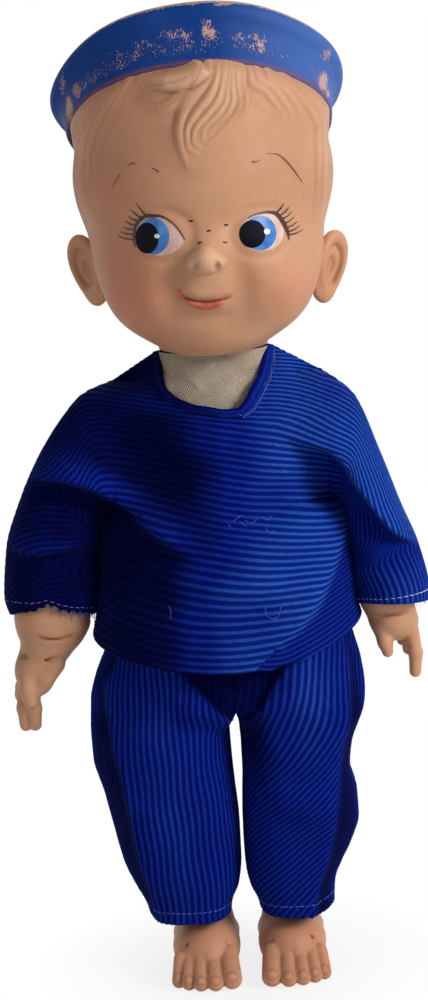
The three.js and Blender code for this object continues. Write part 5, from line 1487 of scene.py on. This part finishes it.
# %% Sleeves
HOOPS = {  # after the armhole: under x, under z, over x, over z, half depth
    "left": [(37.0, 152.5, 43.2, 186.2, 18.4), (38.6, 146, 50.6, 167.5, 18), (39.4, 137, 56.4, 150.5, 17.4),
             (40.4, 128, 61.6, 136.5, 16.4), (41.6, 120.6, 64.4, 123, 15.6), (42, 118.6, 64.2, 118.2, 15.4)],
    "right": [(37.0, 153, 42, 191.2, 16.4), (38.8, 148.5, 56, 174.5, 17.4), (39.8, 140, 64.6, 158, 17.6),
              (41, 130.5, 69.8, 143.4, 17.2), (42.4, 122.6, 71.6, 127.5, 16.6),
              (43, 120.4, 70.4, 121.4, 16.2)],
}
SLEEVE_COLUMNS, SLEEVE_LENGTH = 165, 80
SLEEVE_TURN = {"left": 0.0, "right": -1.15}
# painted light: the doll's left sleeve is on the lit side, its right one in painted shade
SLEEVE_PAINTED_LIGHT = {"left": 0.72, "right": 0.06}
SEAM_EASE = 9
CUFF_TILT = {"left": 1.8, "right": 4.0}
CUFF_NOTCH = {"left": (50, 0, 1), "right": (-57, 2.2, 3.5)}  # x, rise, half width
half_turn = np.linspace(0, math.pi, UPPER_ROWS)
sleeve_turn = np.concatenate([half_turn, math.pi + half_turn[1:]])[:, None]
sleeve_lift = (1 - np.cos(sleeve_turn)) / 2


def sleeve_shape(side, sign):
    """Points round the sleeve, from the armpit over the front, and along it from armhole to cuff."""
    armhole = (ARMHOLE_X, ARMHOLE_BOTTOM, ARMHOLE_X, ARMHOLE_TOP, ARMHOLE_DEPTH[side])
    hoops = np.array([armhole, *HOOPS[side]], float)
    knots = np.linspace(0, 1, len(hoops))
    station = np.linspace(0, 1, SLEEVE_COLUMNS)
    under_x, under_z, over_x, over_z, deep = (
        curve(station, np.c_[knots, column])[None] for column in hoops.T)
    x = sign * (under_x + (over_x - under_x) * sleeve_lift)
    z = under_z + (over_z - under_z) * sleeve_lift
    front = np.sin(sleeve_turn)
    notch_x, notch_rise, notch_half = CUFF_NOTCH[side]
    notch = notch_rise * bell(x - notch_x, notch_half) * np.maximum(0, front)
    z = z + (CUFF_TILT[side] * front + notch) * station ** 3
    return fold_cloth(np.stack([x, -deep * front, z], -1))


def sleeve_wales(side, points):
    """Distance across the wales: the body's at the seam, then along the sleeve or turned on it."""
    x, y, z = np.moveaxis(points, -1, 0)
    in_front, top = sleeve_turn <= math.pi, UPPER_ROWS - 1
    step = np.linalg.norm(np.diff(points, axis=0), axis=-1)
    run = np.concatenate([np.zeros((1, SLEEVE_COLUMNS)), step.cumsum(0)])
    around = np.where(in_front, run, run[-1] - run)
    reach = np.concatenate([[0], np.linalg.norm(np.diff(points[top], axis=0), axis=-1).cumsum()])[None]
    start = wale_level(np.where(in_front, x[:, :1], 0.3 * x[:, :1]), z[:, :1])
    even = around - around[top] + start[top]
    level = wale_level(np.where(in_front, x, 0.3 * x), z)
    across = start + (even - start) * ease(reach, 0, 26)
    across = level + (across - level) * ease(reach, 0, 24)
    bias = SLEEVE_TURN[side]
    turned = (even + bias * (reach - 30)) / math.hypot(1, bias)
    change = reach - 10 * sleeve_lift
    turned = turned - (turned - across)[(np.abs(change - 27) < 2) & (sleeve_turn < math.pi)].mean()
    return across + (turned - across) * ease(change, 20, 34) * (bias != 0)


def sleeve_piece(side):
    sign = 1 if side == "left" else -1
    points = sleeve_shape(side, sign)
    across = sleeve_wales(side, points)
    normal = grid_normals(points, sign)
    seam = np.concatenate([seam_normals[True, side], seam_normals[False, side][-2::-1]])
    from_seam = ease(np.arange(SLEEVE_COLUMNS), 0, SEAM_EASE)[None, :, None]
    points = add_wales(points, across, seam[:, None] + (normal - seam[:, None]) * from_seam)
    flipped, marks = turn_in(points[:, ::-1].swapaxes(0, 1), across[:, ::-1].swapaxes(0, 1), sign)
    x, y, z = np.moveaxis(flipped, -1, 0)
    # painted light: each sleeve's own level, with lighter fold crests and darker hollows
    painted_light = np.clip(SLEEVE_PAINTED_LIGHT[side] + FOLD_PAINTED_LIGHT * fold_height(x, z) * (y < 0), 0, 1)
    along = np.linspace(0, SLEEVE_LENGTH, len(flipped))[:, None] * np.ones((1, flipped.shape[1]))
    faces = grid_faces(*flipped.shape[:2])
    piece = make_piece(side + "_pullover_sleeve", flipped, faces if sign > 0 else faces[:, ::-1], corduroy,
                       np.stack([along, marks], -1), {"painted_light": painted_light})
    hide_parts(side + "_sleeve")
    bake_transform(piece)
    return piece, flipped


left_sleeve, left_sleeve_points = sleeve_piece("left")
right_sleeve, right_sleeve_points = sleeve_piece("right")

# %% [markdown]
# ## Trousers
# Two legs joined by one seam down the middle. Above the crotch a half is an open sheet from the front seam
# round the hip to the back seam, and below it closes into a tube. The rings of the tube turn smoothly into
# the rings of the seat.

# %% Sizes of the trousers
LEG_RINGS = {  # z, inner x, outer x, half depth
    "right": [(20.4, 5.4, 31.6, 20), (24.5, 4.6, 32.8, 20.4), (29.5, 2.3, 35.4, 21.4),
              (37.6, 1.2, 38.8, 22.6), (49, 1.1, 41.3, 24), (62, 1.9, 43.9, 25.4), (73, 2.4, 46.6, 26.6),
              (86, 2.6, 46.8, 27.6), (98, 1, 46, 28.6)],
    "left": [(20.4, 4.4, 28.4, 20), (24, 3.6, 28.6, 20.2), (28.4, 1.6, 29.2, 21), (34, 0.6, 31.6, 22),
             (41, 0.4, 35.2, 23.2), (49, 0.5, 37.8, 24.4), (57.6, 0.9, 37.6, 25), (66, 1.4, 35.8, 25.8),
             (74, 1.4, 36.8, 26.4), (86, 1, 41, 27.6), (98, 1, 42, 28.6)],
}
SEAT_RINGS = {  # z, half width, half depth
    "right": [(70, 46, 27), (83, 46.4, 27.8), (92, 46.2, 29), (99, 44.4, 29.6), (107, 41, 29),
              (115, 37, 27.4), (121, 34.2, 25.6), (127, 33.8, 25.4)],
    "left": [(70, 42, 27), (83, 42, 27.8), (92, 42, 29), (99, 41.4, 29.6), (107, 39.6, 29), (115, 36.6, 27.4),
             (121, 34.2, 25.6), (127, 33.8, 25.4)],
}
TROUSER_TOP, CROTCH_Z, TROUSER_HEM = 127.0, 91.0, 20.4
TROUSER_FOLDS = {  # side: line as (x, z), rise, reach
    "right": [([(-18, 108), (-12, 99.4), (-5, 93)], -1.5, 2.6), ([(-24, 104), (-17, 95), (-6, 88)], 1.2, 3.4),
              ([(-44, 70), (-34, 62), (-22, 58)], 1.0, 4.5), ([(-36, 40), (-24, 36), (-12, 38)], 0.8, 4.0)],
    "left": [([(2, 95), (8, 97), (15, 103)], -1.6, 2.6), ([(4, 88), (14, 93), (24, 104)], 1.3, 3.4),
             ([(8, 72), (20, 66), (33, 66)], -1.2, 4.0), ([(10, 62), (24, 56), (36, 54)], 1.4, 4.6),
             ([(8, 36), (18, 40), (30, 38)], 0.8, 4.0)],
}
SIDE_PANELS = {  # z, and how far out the crease lies where the front turns to the side
    "right": [(20, 29.5), (32, 31), (45, 34), (58, 35.5), (71, 37), (84, 39.6), (97, 41),
              (108, 36.1), (127, 33)],
    "left": [(20, 21.5), (30, 23.2), (38, 26.4), (49.5, 29), (62, 31.2), (73, 32.5), (86, 35.9), (97.5, 36.8),
             (109, 35.9), (127, 33)],
}
CROTCH_FOLDS = {  # z, and how far out the hollow of the crotch reaches
    "right": [(87, 1), (91, 5), (94, 7.9), (99.5, 12.1), (105, 16.4), (112, 20)],
    "left": [(85, 1), (87.6, 2.4), (92.7, 8.1), (98, 11.4), (104, 15.6), (112, 20)],
}
PANEL_STEP, PANEL_SLOPE, CROTCH_STEP = 2.0, 0.55, 2.6
MIDDLE_WALE = {"right": [(20, 19), (127, 22)], "left": [(20, 16), (127, 21)]}  # z, and how far out it runs
LEFT_SWIRL = [(18, 0), (30, 9), (45, 23), (60, 39), (75, 52), (88, 58), (100, 60), (127, 61)]  # z, turn in mm
OUTER_COLUMNS, INNER_COLUMNS, TROUSER_ROWS = 250, 120, 215
LEG_CORNER, INNER_SHARE = 2.9, 0.32
SEAM_X = 0.15
GATHER_RISE, GATHER_TURN = 0.9, 0.42
TROUSER_LENGTH = 110
print("trousers:", TROUSER_ROWS, "rows from", TROUSER_HEM, "to", TROUSER_TOP, "mm")

# %% Shape of a trouser leg


def corner_ring(angle, middle, half, deep):
    """A ring with flat sides and round corners; angle 0 is outwards and -90 degrees is the front."""
    c, s = np.cos(angle), np.sin(angle)
    x = middle + half * np.sign(c) * np.abs(c) ** (2 / LEG_CORNER)
    return x, deep * np.sign(s) * np.abs(s) ** (2 / LEG_CORNER)


def trouser_creases(side, points):
    """How far points lie past the side crease, and how much on the side panel and in the crotch's hollow."""
    x, y, z = np.abs(points[..., 0]), points[..., 1], points[..., 2]
    past = x - curve(z, SIDE_PANELS[side])
    hollow = ease(curve(z, CROTCH_FOLDS[side]) - x, -0.9, 1.4) * ease(z, 84, 90) * ease(-y, 4, 10)
    return past, ease(past, -0.9, 1.7) * ease(-y, 0, 15), hollow


def trouser_rings(side):
    """Rings of points from hem to waist, as on the left: the outer part first, then that along the inseam."""
    z = np.linspace(TROUSER_HEM, TROUSER_TOP, TROUSER_ROWS)[:, None]
    ring, seat = np.array(LEG_RINGS[side], float), np.array(SEAT_RINGS[side], float)
    inner, outer, deep = (curve(z, ring[:, [0, k]]) for k in (1, 2, 3))
    seat_half, seat_deep = (curve(z, seat[:, [0, k]]) for k in (1, 2))
    middle, half = (inner + outer) / 2, (outer - inner) / 2
    rise = ease(z, CROTCH_Z - 10, CROTCH_Z + 1)
    swing = math.pi * (1 - INNER_SHARE / 2)
    part = np.linspace(0, 1, OUTER_COLUMNS)[None]
    leg_x, leg_y = corner_ring(-swing + 2 * swing * part, middle, half, deep)
    seat_x = seat_half * np.cos(-math.pi / 2 + math.pi * part) ** 0.85
    seat_y = seat_deep * np.sin(-math.pi / 2 + math.pi * part)
    outer_x, outer_y = leg_x + (seat_x - leg_x) * rise, leg_y + (seat_y - leg_y) * rise
    part = np.linspace(0, 1, INNER_COLUMNS)[None]
    in_x, in_y = corner_ring(swing + (2 * math.pi - 2 * swing) * part, middle, half, deep)
    flat_y = outer_y[:, -1:] + (outer_y[:, :1] - outer_y[:, -1:]) * part
    inner_x, inner_y = in_x + (SEAM_X - in_x) * rise, in_y + (flat_y - in_y) * rise
    x, y = np.c_[outer_x, inner_x[:, 1:-1]], np.c_[outer_y, inner_y[:, 1:-1]]
    return np.stack([np.maximum(x, SEAM_X), y, z * np.ones_like(x)], -1)


def fold_trousers(side, sign, points):
    """Adds the folds, the side crease, the hollow of the crotch and the gathers below the waist."""
    x, y, z = np.moveaxis(points, -1, 0)  # views: y follows the points as they are moved
    forward = 0.4 * np.sin(0.2 * x + 0.16 * z) + 0.35 * np.sin(0.13 * x - 0.21 * z + 2)
    for line, height, width in TROUSER_FOLDS[side]:
        gap, _, share = to_line(x, z, smooth_line(line, 20))
        forward = forward + height * bell(gap, width) * np.sin(math.pi * np.clip(share, 0, 1)) ** 0.6
    points[..., 1] -= forward * ease(-y, 2, 10)
    past, panel, hollow = trouser_creases(side, points)
    points[..., 1] += panel * (PANEL_STEP + PANEL_SLOPE * np.maximum(0, past)) + CROTCH_STEP * hollow
    points[..., 1] += 0.5 * np.sin(0.18 * x - 0.12 * z) * ease(y, 2, 10)
    gather = GATHER_RISE * np.sin(np.arange(points.shape[1]) * GATHER_TURN) * ease(z, 104, 122)
    return points + grid_normals(points, sign) * gather[..., None]


def trouser_wales(side, points):
    """Distance across the wales: they run down the leg, and swirl round the outside of the left one."""
    z = points[:, :1, 2]
    step = np.linalg.norm(np.diff(points, axis=1), axis=-1)
    run = np.concatenate([np.zeros((TROUSER_ROWS, 1)), step.cumsum(1)], 1)
    seam, inseam = OUTER_COLUMNS // 2, OUTER_COLUMNS + INNER_COLUMNS // 2
    arc = np.where(np.arange(points.shape[1]) <= seam, run, run[:, OUTER_COLUMNS - 1:OUTER_COLUMNS] - run)
    arc[:, inseam:] = run[:, inseam:] - run[:, -1:]
    front = np.s_[:OUTER_COLUMNS // 3]
    for k, out in enumerate(curve(z[:, 0], MIDDLE_WALE[side])):
        arc[k] -= np.interp(out, np.maximum.accumulate(np.abs(points[k, front, 0])), arc[k, front])
    if side == "left":
        return 0.8 * arc - curve(z, LEFT_SWIRL) * ease(arc, -40, -27)
    return arc + 0.5 * np.sin(0.06 * z + 0.4) + 0.2 * np.sin(0.27 * z + 0.2 * arc)


# %% Trousers


def trouser_painted_light(side, points):
    """Painted light of the cloth: lighter down each leg's middle, darker by the left leg's inseam,
    and a painted shade on the side panel and in the crotch's hollow.
    """
    _, panel, hollow = trouser_creases(side, points)
    x, z = np.abs(points[..., 0]), points[..., 2]
    front_tone = 0.1 * bell(x - 22, 9)
    if side == "left":
        front_tone = 0.2 * bell(x - 24, 8) * ease(z, 66, 90) - 0.42 * bell(x - 4, 8) * ease(z, 52, 84)
    return np.clip(0.5 + front_tone - 0.55 * panel - 0.5 * hollow, 0, 1)


def trouser_piece(side):
    sign = 1 if side == "left" else -1
    points = fold_trousers(side, sign, trouser_rings(side) * (sign, 1, 1))
    across = trouser_wales(side, points)
    points = add_wales(points, across, grid_normals(points, sign))
    full = points.shape[1]
    closed = np.concatenate([points, points[:, :1]], 1)
    across = np.concatenate([across, across[:, -1:] + 0.3], 1)
    closed, marks = turn_in(closed, across, sign)
    faces = grid_faces(*closed.shape[:2]).reshape(len(closed) - 1, full, 4)
    open_share = (CROTCH_Z - TROUSER_HEM) / (TROUSER_TOP - TROUSER_HEM)
    open_row = int(open_share * TROUSER_ROWS) + len(closed) - TROUSER_ROWS
    tube, sheet = faces[:open_row].reshape(-1, 4), faces[open_row:, :OUTER_COLUMNS - 1].reshape(-1, 4)
    faces = np.concatenate([tube, sheet])
    along = np.linspace(0, TROUSER_LENGTH, len(closed))[:, None] * np.ones((1, full + 1))
    used = np.unique(faces)
    number = renumber(used, closed[..., 0].size)
    uv = np.stack([along, marks], -1).reshape(-1, 2)[used]
    faces = number[faces if sign > 0 else faces[:, ::-1]]
    piece = make_piece(side + "_trousers", closed.reshape(-1, 3)[used], faces, corduroy, uv,
                       {"painted_light": trouser_painted_light(side, closed).ravel()[used]})
    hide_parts("trouser_seat_" + side, side + "_trouser_leg")
    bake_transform(piece)
    return piece, closed


left_trousers, left_trouser_points = trouser_piece("left")
right_trousers, right_trouser_points = trouser_piece("right")

# %% [markdown]
# ## Dickey
# A bib of coarse cream linen fills the neckline. It is a curved sheet that follows the neck and goes down
# behind the pullover.

# %% Dickey
DICKEY_ROWS, DICKEY_COLUMNS, DICKEY_HALF_TURN = 60, 120, 1.75
DICKEY_TOP, DICKEY_BOTTOM = 203.5, 176.0
DICKEY_DEEP = [(176, 21.4), (184, 20.4), (190, 18.8), (196, 16.8), (203.2, 15.4)]  # z, and depth there
DICKEY_WIDE = [(176, 27), (184, 25), (190, 22.5), (196, 19.4), (203.2, 17.6)]  # z, and half width there
DICKEY_CREASES = [  # lines in pixels
    [(181, 375), (193, 383), (205, 393)], [(252, 365), (228, 382), (205, 395)],
    [(240, 372), (228, 386), (215, 395)], [(166, 360), (206, 366), (254, 358)],
]
DICKEY_Y, CREASE_RISE, CREASE_HALF = -19, 0.6, 0.9
dickey_z = np.linspace(DICKEY_BOTTOM, DICKEY_TOP, DICKEY_ROWS)[:, None]
dickey_turn = np.linspace(-DICKEY_HALF_TURN, DICKEY_HALF_TURN, DICKEY_COLUMNS)[None]
dickey_x = curve(dickey_z, DICKEY_WIDE) * np.sin(dickey_turn)
dickey_y = -curve(dickey_z, DICKEY_DEEP) * np.cos(dickey_turn)
dickey_points = np.stack([dickey_x, dickey_y, dickey_z * np.ones_like(dickey_turn)], -1)
for crease in DICKEY_CREASES:
    line = smooth_line(at_depth(crease, DICKEY_Y), 16)
    gap, _, share = to_line(dickey_points[..., 0], dickey_points[..., 2], line)
    fade = np.sin(math.pi * np.clip(share, 0, 1)) ** 0.6
    dickey_points[..., 1] -= CREASE_RISE * bell(gap, CREASE_HALF) * fade
dickey_points = keep_off(dickey_points, body_skins[:1], 0.4)
dickey_uv = np.stack([dickey_turn * 19 + dickey_z * 0.6, dickey_z - dickey_turn * 9], -1)
dickey = make_piece("linen_dickey", dickey_points, grid_faces(DICKEY_ROWS, DICKEY_COLUMNS), linen, dickey_uv)
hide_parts("neck_dickey")
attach(dickey, "torso")

# %% [markdown]
# ## Sewing
# The neckline is finished with a narrow facing, turned over and stitched. Cuffs, trouser hems and the back's
# opening have a row of pale machine stitches, and bits of loose thread and lint cling to the pile. Stitches
# could be drawn in the material, but real ones catch the light. Geometry Nodes lay them: a path is turned
# into evenly spaced points, and a small spindle is set on each.

# %% Facing of the neckline
FACING_HALF, FACING_THICK, FACING_STEPS, FACING_COLUMNS = 1.45, 0.85, 14, 150
FACING_LENGTH, FACING_TOP = 70, 203.5
NECK_HALF = 18.3
neck_edge = front_points[-1][np.abs(front_points[-1][:, 0]) <= NECK_HALF]
neck_edge = smooth_line(neck_edge[::4], FACING_COLUMNS)
neck_out = np.stack([neck_edge[:, 0] / 34, -np.ones(FACING_COLUMNS), np.full(FACING_COLUMNS, 0.3)], 1)
neck_out /= np.linalg.norm(neck_out, axis=1, keepdims=True)
neck_run = np.gradient(neck_edge, axis=0)
neck_run /= np.linalg.norm(neck_run, axis=1, keepdims=True)
neck_inward = np.cross(neck_out, neck_run)
facing_turn = np.linspace(0, 2 * math.pi, FACING_STEPS, endpoint=False)[:, None, None]
facing_extra = ease(neck_edge[:, :1], 4, 11) * 0.9
facing_middle = neck_edge + 0.3 * neck_out - neck_inward * facing_extra
facing_points = facing_middle + neck_out * FACING_THICK * np.cos(facing_turn)
facing_points = facing_points + neck_inward * (FACING_HALF + facing_extra) * np.sin(facing_turn)
facing_points[..., 2] = np.minimum(facing_points[..., 2], FACING_TOP)
facing_along = np.linspace(0, FACING_LENGTH, FACING_COLUMNS) * np.ones((FACING_STEPS, 1))
facing_round = np.broadcast_to(facing_turn[..., 0], facing_along.shape) * 1.1
facing_uv = np.stack([facing_along, facing_round], -1)
first = np.arange(FACING_COLUMNS - 1)
last = first + (FACING_STEPS - 1) * FACING_COLUMNS
closing = np.stack([last, last + 1, first + 1, first], 1)
facing_faces = np.concatenate([grid_faces(FACING_STEPS, FACING_COLUMNS), closing])
# painted light: the facing is darker on the doll's right and lighter on its left, towards the strong lamp
facing = make_piece("neck_facing", facing_points, facing_faces, corduroy, facing_uv,
                    {"painted_light": 0.1 + 0.38 * ease(facing_points[..., 0], -10, 18)})
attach(facing, "torso")

# %% Stitch and thread trees


def sewing_tree(name, sizes):
    """An empty Geometry Nodes tree with named sizes, a seed and a finish as its inputs."""
    tree = bpy.data.node_groups.new(name, "GeometryNodeTree")
    face = tree.interface
    face.new_socket("Path", in_out="INPUT", socket_type="NodeSocketGeometry")
    for size in sizes:
        face.new_socket(size, in_out="INPUT", socket_type="NodeSocketFloat")
    face.new_socket("Seed", in_out="INPUT", socket_type="NodeSocketInt")
    face.new_socket("Finish", in_out="INPUT", socket_type="NodeSocketMaterial")
    face.new_socket("Sewing", in_out="OUTPUT", socket_type="NodeSocketGeometry")

    def add(kind, settings=None, sockets=None):
        made = tree.nodes.new(kind)
        for key, value in (settings or {}).items():
            setattr(made, key, value)
        for key, value in (sockets or {}).items():
            if isinstance(value, bpy.types.NodeSocket):
                tree.links.new(value, made.inputs[key])
            else:
                made.inputs[key].default_value = value
        return made.outputs

    def finish(geometry):
        whole = add("GeometryNodeRealizeInstances", None, {"Geometry": geometry})[0]
        dressed = add("GeometryNodeSetMaterial", None, {"Geometry": whole, "Material": given["Finish"]})[0]
        add("NodeGroupOutput", None, {"Sewing": dressed})

    given = add("NodeGroupInput")
    return tree, add, given, finish


# %% Stitch tree
STITCH_LEAN = (0.14, 0.14, 0.14)
stitch_tree, add, given, finish_tree = sewing_tree("stitch_row", ("Pitch", "Length", "Thickness"))
path = add("GeometryNodeMeshToCurve", None, {"Mesh": given["Path"]})[0]
spots = add("GeometryNodeCurveToPoints", {"mode": "LENGTH"}, {"Curve": path, "Length": given["Pitch"]})
lean = add("FunctionNodeRandomValue", {"data_type": "FLOAT_VECTOR"},
           {"Min": [-most for most in STITCH_LEAN], "Max": STITCH_LEAN, "Seed": given["Seed"]})["Value"]
heading = add("ShaderNodeVectorMath", {"operation": "ADD"}, {0: spots["Tangent"], 1: lean})[0]
turned = add("FunctionNodeAlignRotationToVector", {"axis": "Z"}, {"Vector": heading})[0]
size = add("ShaderNodeCombineXYZ", None,
           {"X": given["Thickness"], "Y": given["Thickness"], "Z": given["Length"]})[0]
spindle = add("GeometryNodeMeshUVSphere", None, {"Segments": 6, "Rings": 5, "Radius": 0.5})[0]
finish_tree(add("GeometryNodeInstanceOnPoints", None,
                {"Points": spots["Points"], "Instance": spindle, "Rotation": turned, "Scale": size})[0])
print("stitch tree:", len(stitch_tree.nodes), "nodes")

# %% Thread tree
thread_tree, add, given, finish_tree = sewing_tree("loose_threads", ("Spacing", "Thickness", "Curl"))
path = add("GeometryNodeMeshToCurve", None, {"Mesh": given["Path"]})[0]
path = add("GeometryNodeCurveSplineType", {"spline_type": "CATMULL_ROM"}, {"Curve": path})[0]
path = add("GeometryNodeResampleCurve", {"mode": "LENGTH"}, {"Curve": path, "Length": given["Spacing"]})[0]
drift = add("FunctionNodeRandomValue", {"data_type": "FLOAT_VECTOR"},
            {"Min": (-1, -1, -1), "Max": (1, 1, 1), "Seed": given["Seed"]})["Value"]
drift = add("ShaderNodeVectorMath", {"operation": "SCALE"}, {0: drift, "Scale": given["Curl"]})[0]
path = add("GeometryNodeSetPosition", None, {"Geometry": path, "Offset": drift})[0]
round_profile = add("GeometryNodeCurvePrimitiveCircle", {"mode": "RADIUS"},
                    {"Resolution": 5, "Radius": given["Thickness"]})[0]
finish_tree(add("GeometryNodeCurveToMesh", None,
                {"Curve": path, "Profile Curve": round_profile, "Fill Caps": True})[0])
print("thread tree:", len(thread_tree.nodes), "nodes")

# %% Sewing on a path
SEWING_SEED = 7


def sew(name, lines, tree, sizes, finish, body):
    """Lays stitches or threads along lines of points in mm, as one plain mesh."""
    points, edges = [], []
    for line in lines:
        edges += [(len(points) + k, len(points) + k + 1) for k in range(len(line) - 1)]
        points += (np.asarray(line) * MM).tolist()
    mesh = bpy.data.meshes.new(name + "_path")
    mesh.from_pydata(points, edges, [])
    piece = bpy.data.objects.new(name, mesh)
    scene.collection.objects.link(piece)
    sewing = piece.modifiers.new("sewing", "NODES")
    sewing.node_group = tree
    values = {**{key: value * MM for key, value in sizes.items()}, "Seed": SEWING_SEED, "Finish": finish}
    for item in tree.interface.items_tree:
        if item.in_out == "INPUT" and item.name in values:
            sewing[item.identifier] = values[item.name]
    made = bpy.data.meshes.new_from_object(piece.evaluated_get(bpy.context.evaluated_depsgraph_get()))
    piece.modifiers.remove(sewing)
    piece.data = made
    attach(piece, body)
    print(name + ":", len(made.polygons), "faces")
    return piece


# %% Rows of stitches
STITCH = {"Pitch": 2.2, "Length": 1.6, "Thickness": 0.26}
HEM_STITCH = {"Pitch": 1.8, "Length": 1.5, "Thickness": 0.2}
NECK_STITCH = {"Pitch": 1.3, "Length": 1.0, "Thickness": 0.2}
OPENING_COLUMN = 4


def row_above(points, height, outward):
    """A line on a hemmed grid, so far from its edge and just off the cloth; hem rows come first."""
    first = len(HEM_DEEP) + 1
    run = np.r_[0, np.linalg.norm(np.diff(points[first:], axis=0), axis=-1).mean(1).cumsum()]
    k = first + int(np.searchsorted(run, height))
    return points[k] + grid_normals(points, outward)[k] * 0.12


left_cuff_row = row_above(left_sleeve_points, 2.8, 1)
right_cuff_row = row_above(right_sleeve_points, 3.6, -1)
left_hem_row = row_above(left_trouser_points, 3.7, 1)
right_hem_row = row_above(right_trouser_points, 3.7, -1)
opening_row = back_points[len(HEM_DEEP) + 1:, OPENING_COLUMN] + np.array([0, 0.2, 0])
zigzag = 0.6 * np.cos(np.arange(FACING_COLUMNS) * math.pi)[:, None]
neck_row = facing_middle + neck_out * 0.9 - neck_inward * (1.2 + facing_extra + zigzag)
neck_row = neck_row[neck_edge[:, 0] > 6]
ROWS = [  # name, line, sizes, thread and body
    ("left_cuff_stitches", left_cuff_row, STITCH, thread, "left_arm"),
    ("right_cuff_stitches", right_cuff_row, STITCH, dull_thread, "right_arm"),
    ("left_hem_stitches", left_hem_row, HEM_STITCH, dull_thread, "left_leg"),
    ("right_hem_stitches", right_hem_row, HEM_STITCH, dull_thread, "right_leg"),
    ("back_stitches", opening_row, STITCH, dull_thread, "torso"),
    ("neck_stitches", neck_row, NECK_STITCH, dull_thread, "torso"),
]
stitches = {name: sew(name, [line], stitch_tree, sizes, finish, body)
            for name, line, sizes, finish, body in ROWS}

# %% Loose threads, lint and frayed edges
LINT = [  # lines in pixels
    [(234, 521), (238, 517), (243, 516)], [(245, 520), (251, 523), (257, 519)],
    [(262, 517), (267, 520), (272, 516)], [(266, 529), (271, 533), (275, 530)],
    [(169, 606), (171, 613), (170, 619)], [(265, 606), (267, 615), (273, 619), (279, 615), (281, 605)],
    [(233, 398), (235, 402), (239, 404)], [(228, 524), (231, 527)], [(241, 522), (246, 526)],
    [(283, 470), (287, 473)],
]
NECK_THREADS = [
    [(252, 364), (256, 366.5), (259, 365)], [(250, 368), (255, 369.5), (260, 367)],
    [(234, 399), (236, 404), (233, 409)],
]
THREAD = {"Spacing": 0.5, "Thickness": 0.06, "Curl": 0.16}


def on_cloth(lines, skin, lift):
    """Lines on a cloth's surface that lines of pixels show, lifted towards the camera."""
    found = []
    for pixels in lines:
        places = []
        for direction in sight(pixels):
            hit = skin.ray_cast(camera_place, Vector(direction).normalized())[0]
            if hit is not None:
                places.append(np.array(hit) / MM - np.array(direction) / np.linalg.norm(direction) * lift)
        if len(places) > 1:
            found.append(places)
    return found


lint_lines = on_cloth(LINT, skin_of(shirt_front), 0.25)
lint = sew("lint", lint_lines, thread_tree, THREAD, dull_thread, "torso")
neck_lines = on_cloth(NECK_THREADS, skin_of(dickey), 0.5)
neck_threads = sew("neck_threads", neck_lines, thread_tree, THREAD, blue_thread, "torso")

# %% Frayed cuffs
FRAY_SEED = 7
RIGHT_FRAY, LEFT_FRAY = 3.2, 1.6
RAGGED_FROM, LEFT_FRAY_EVERY = -58, 9
fray_dice = np.random.default_rng(FRAY_SEED)


def fray(points, columns, longest):
    """Short threads that hang from the edge of a hemmed grid."""
    edge = points[len(HEM_DEEP)]
    lines = []
    for k in columns:
        fall = fray_dice.uniform(0.3, 1.0) * longest
        side = fray_dice.uniform(-0.6, 0.6, 3) * longest * 0.5
        lines.append([edge[k], edge[k] + (0, 0, -fall * 0.5) + side * 0.4, edge[k] + (0, 0, -fall) + side])
    return lines


ragged = np.flatnonzero((right_sleeve_points[0, :, 0] > RAGGED_FROM) & (right_sleeve_points[0, :, 1] < 0))
right_threads = fray(right_sleeve_points, ragged, RIGHT_FRAY)
right_fray = sew("right_cuff_fray", right_threads, thread_tree, THREAD, blue_thread, "right_arm")
left_threads = fray(left_sleeve_points, range(0, left_sleeve_points.shape[1], LEFT_FRAY_EVERY), LEFT_FRAY)
left_fray = sew("left_cuff_fray", left_threads, thread_tree, THREAD, blue_thread, "left_arm")

SHEETS = [  # piece, width and length it was cut to, how it is held, what carries it, and what is sewn to it
    (shirt_front, (0.112, 0.11), "hung", ["torso"], [facing, stitches["neck_stitches"], lint]),
    (back_left, (0.062, 0.105), "hung", ["torso"], [stitches["back_stitches"]]),
    (back_right, (0.06, 0.105), "hung", ["torso"], []),
    (left_sleeve, (0.098, 0.08), "hung", ["left_doll_arm"], [stitches["left_cuff_stitches"], left_fray]),
    (right_sleeve, (0.104, 0.084), "hung", ["right_doll_arm"], [stitches["right_cuff_stitches"], right_fray]),
    (left_trousers, (0.13, 0.125), "gathered", ["torso", "waist_elastic"], [stitches["left_hem_stitches"]]),
    (right_trousers, (0.14, 0.125), "gathered", ["torso", "waist_elastic"], [stitches["right_hem_stitches"]]),
    (dickey, (0.075, 0.03), "hung", ["torso"], [neck_threads]),
]
for piece, flat, held, carriers, sewn in SHEETS:
    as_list(carriers)
    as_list(sewn)
print("cloth:", len(SHEETS), "sheets")
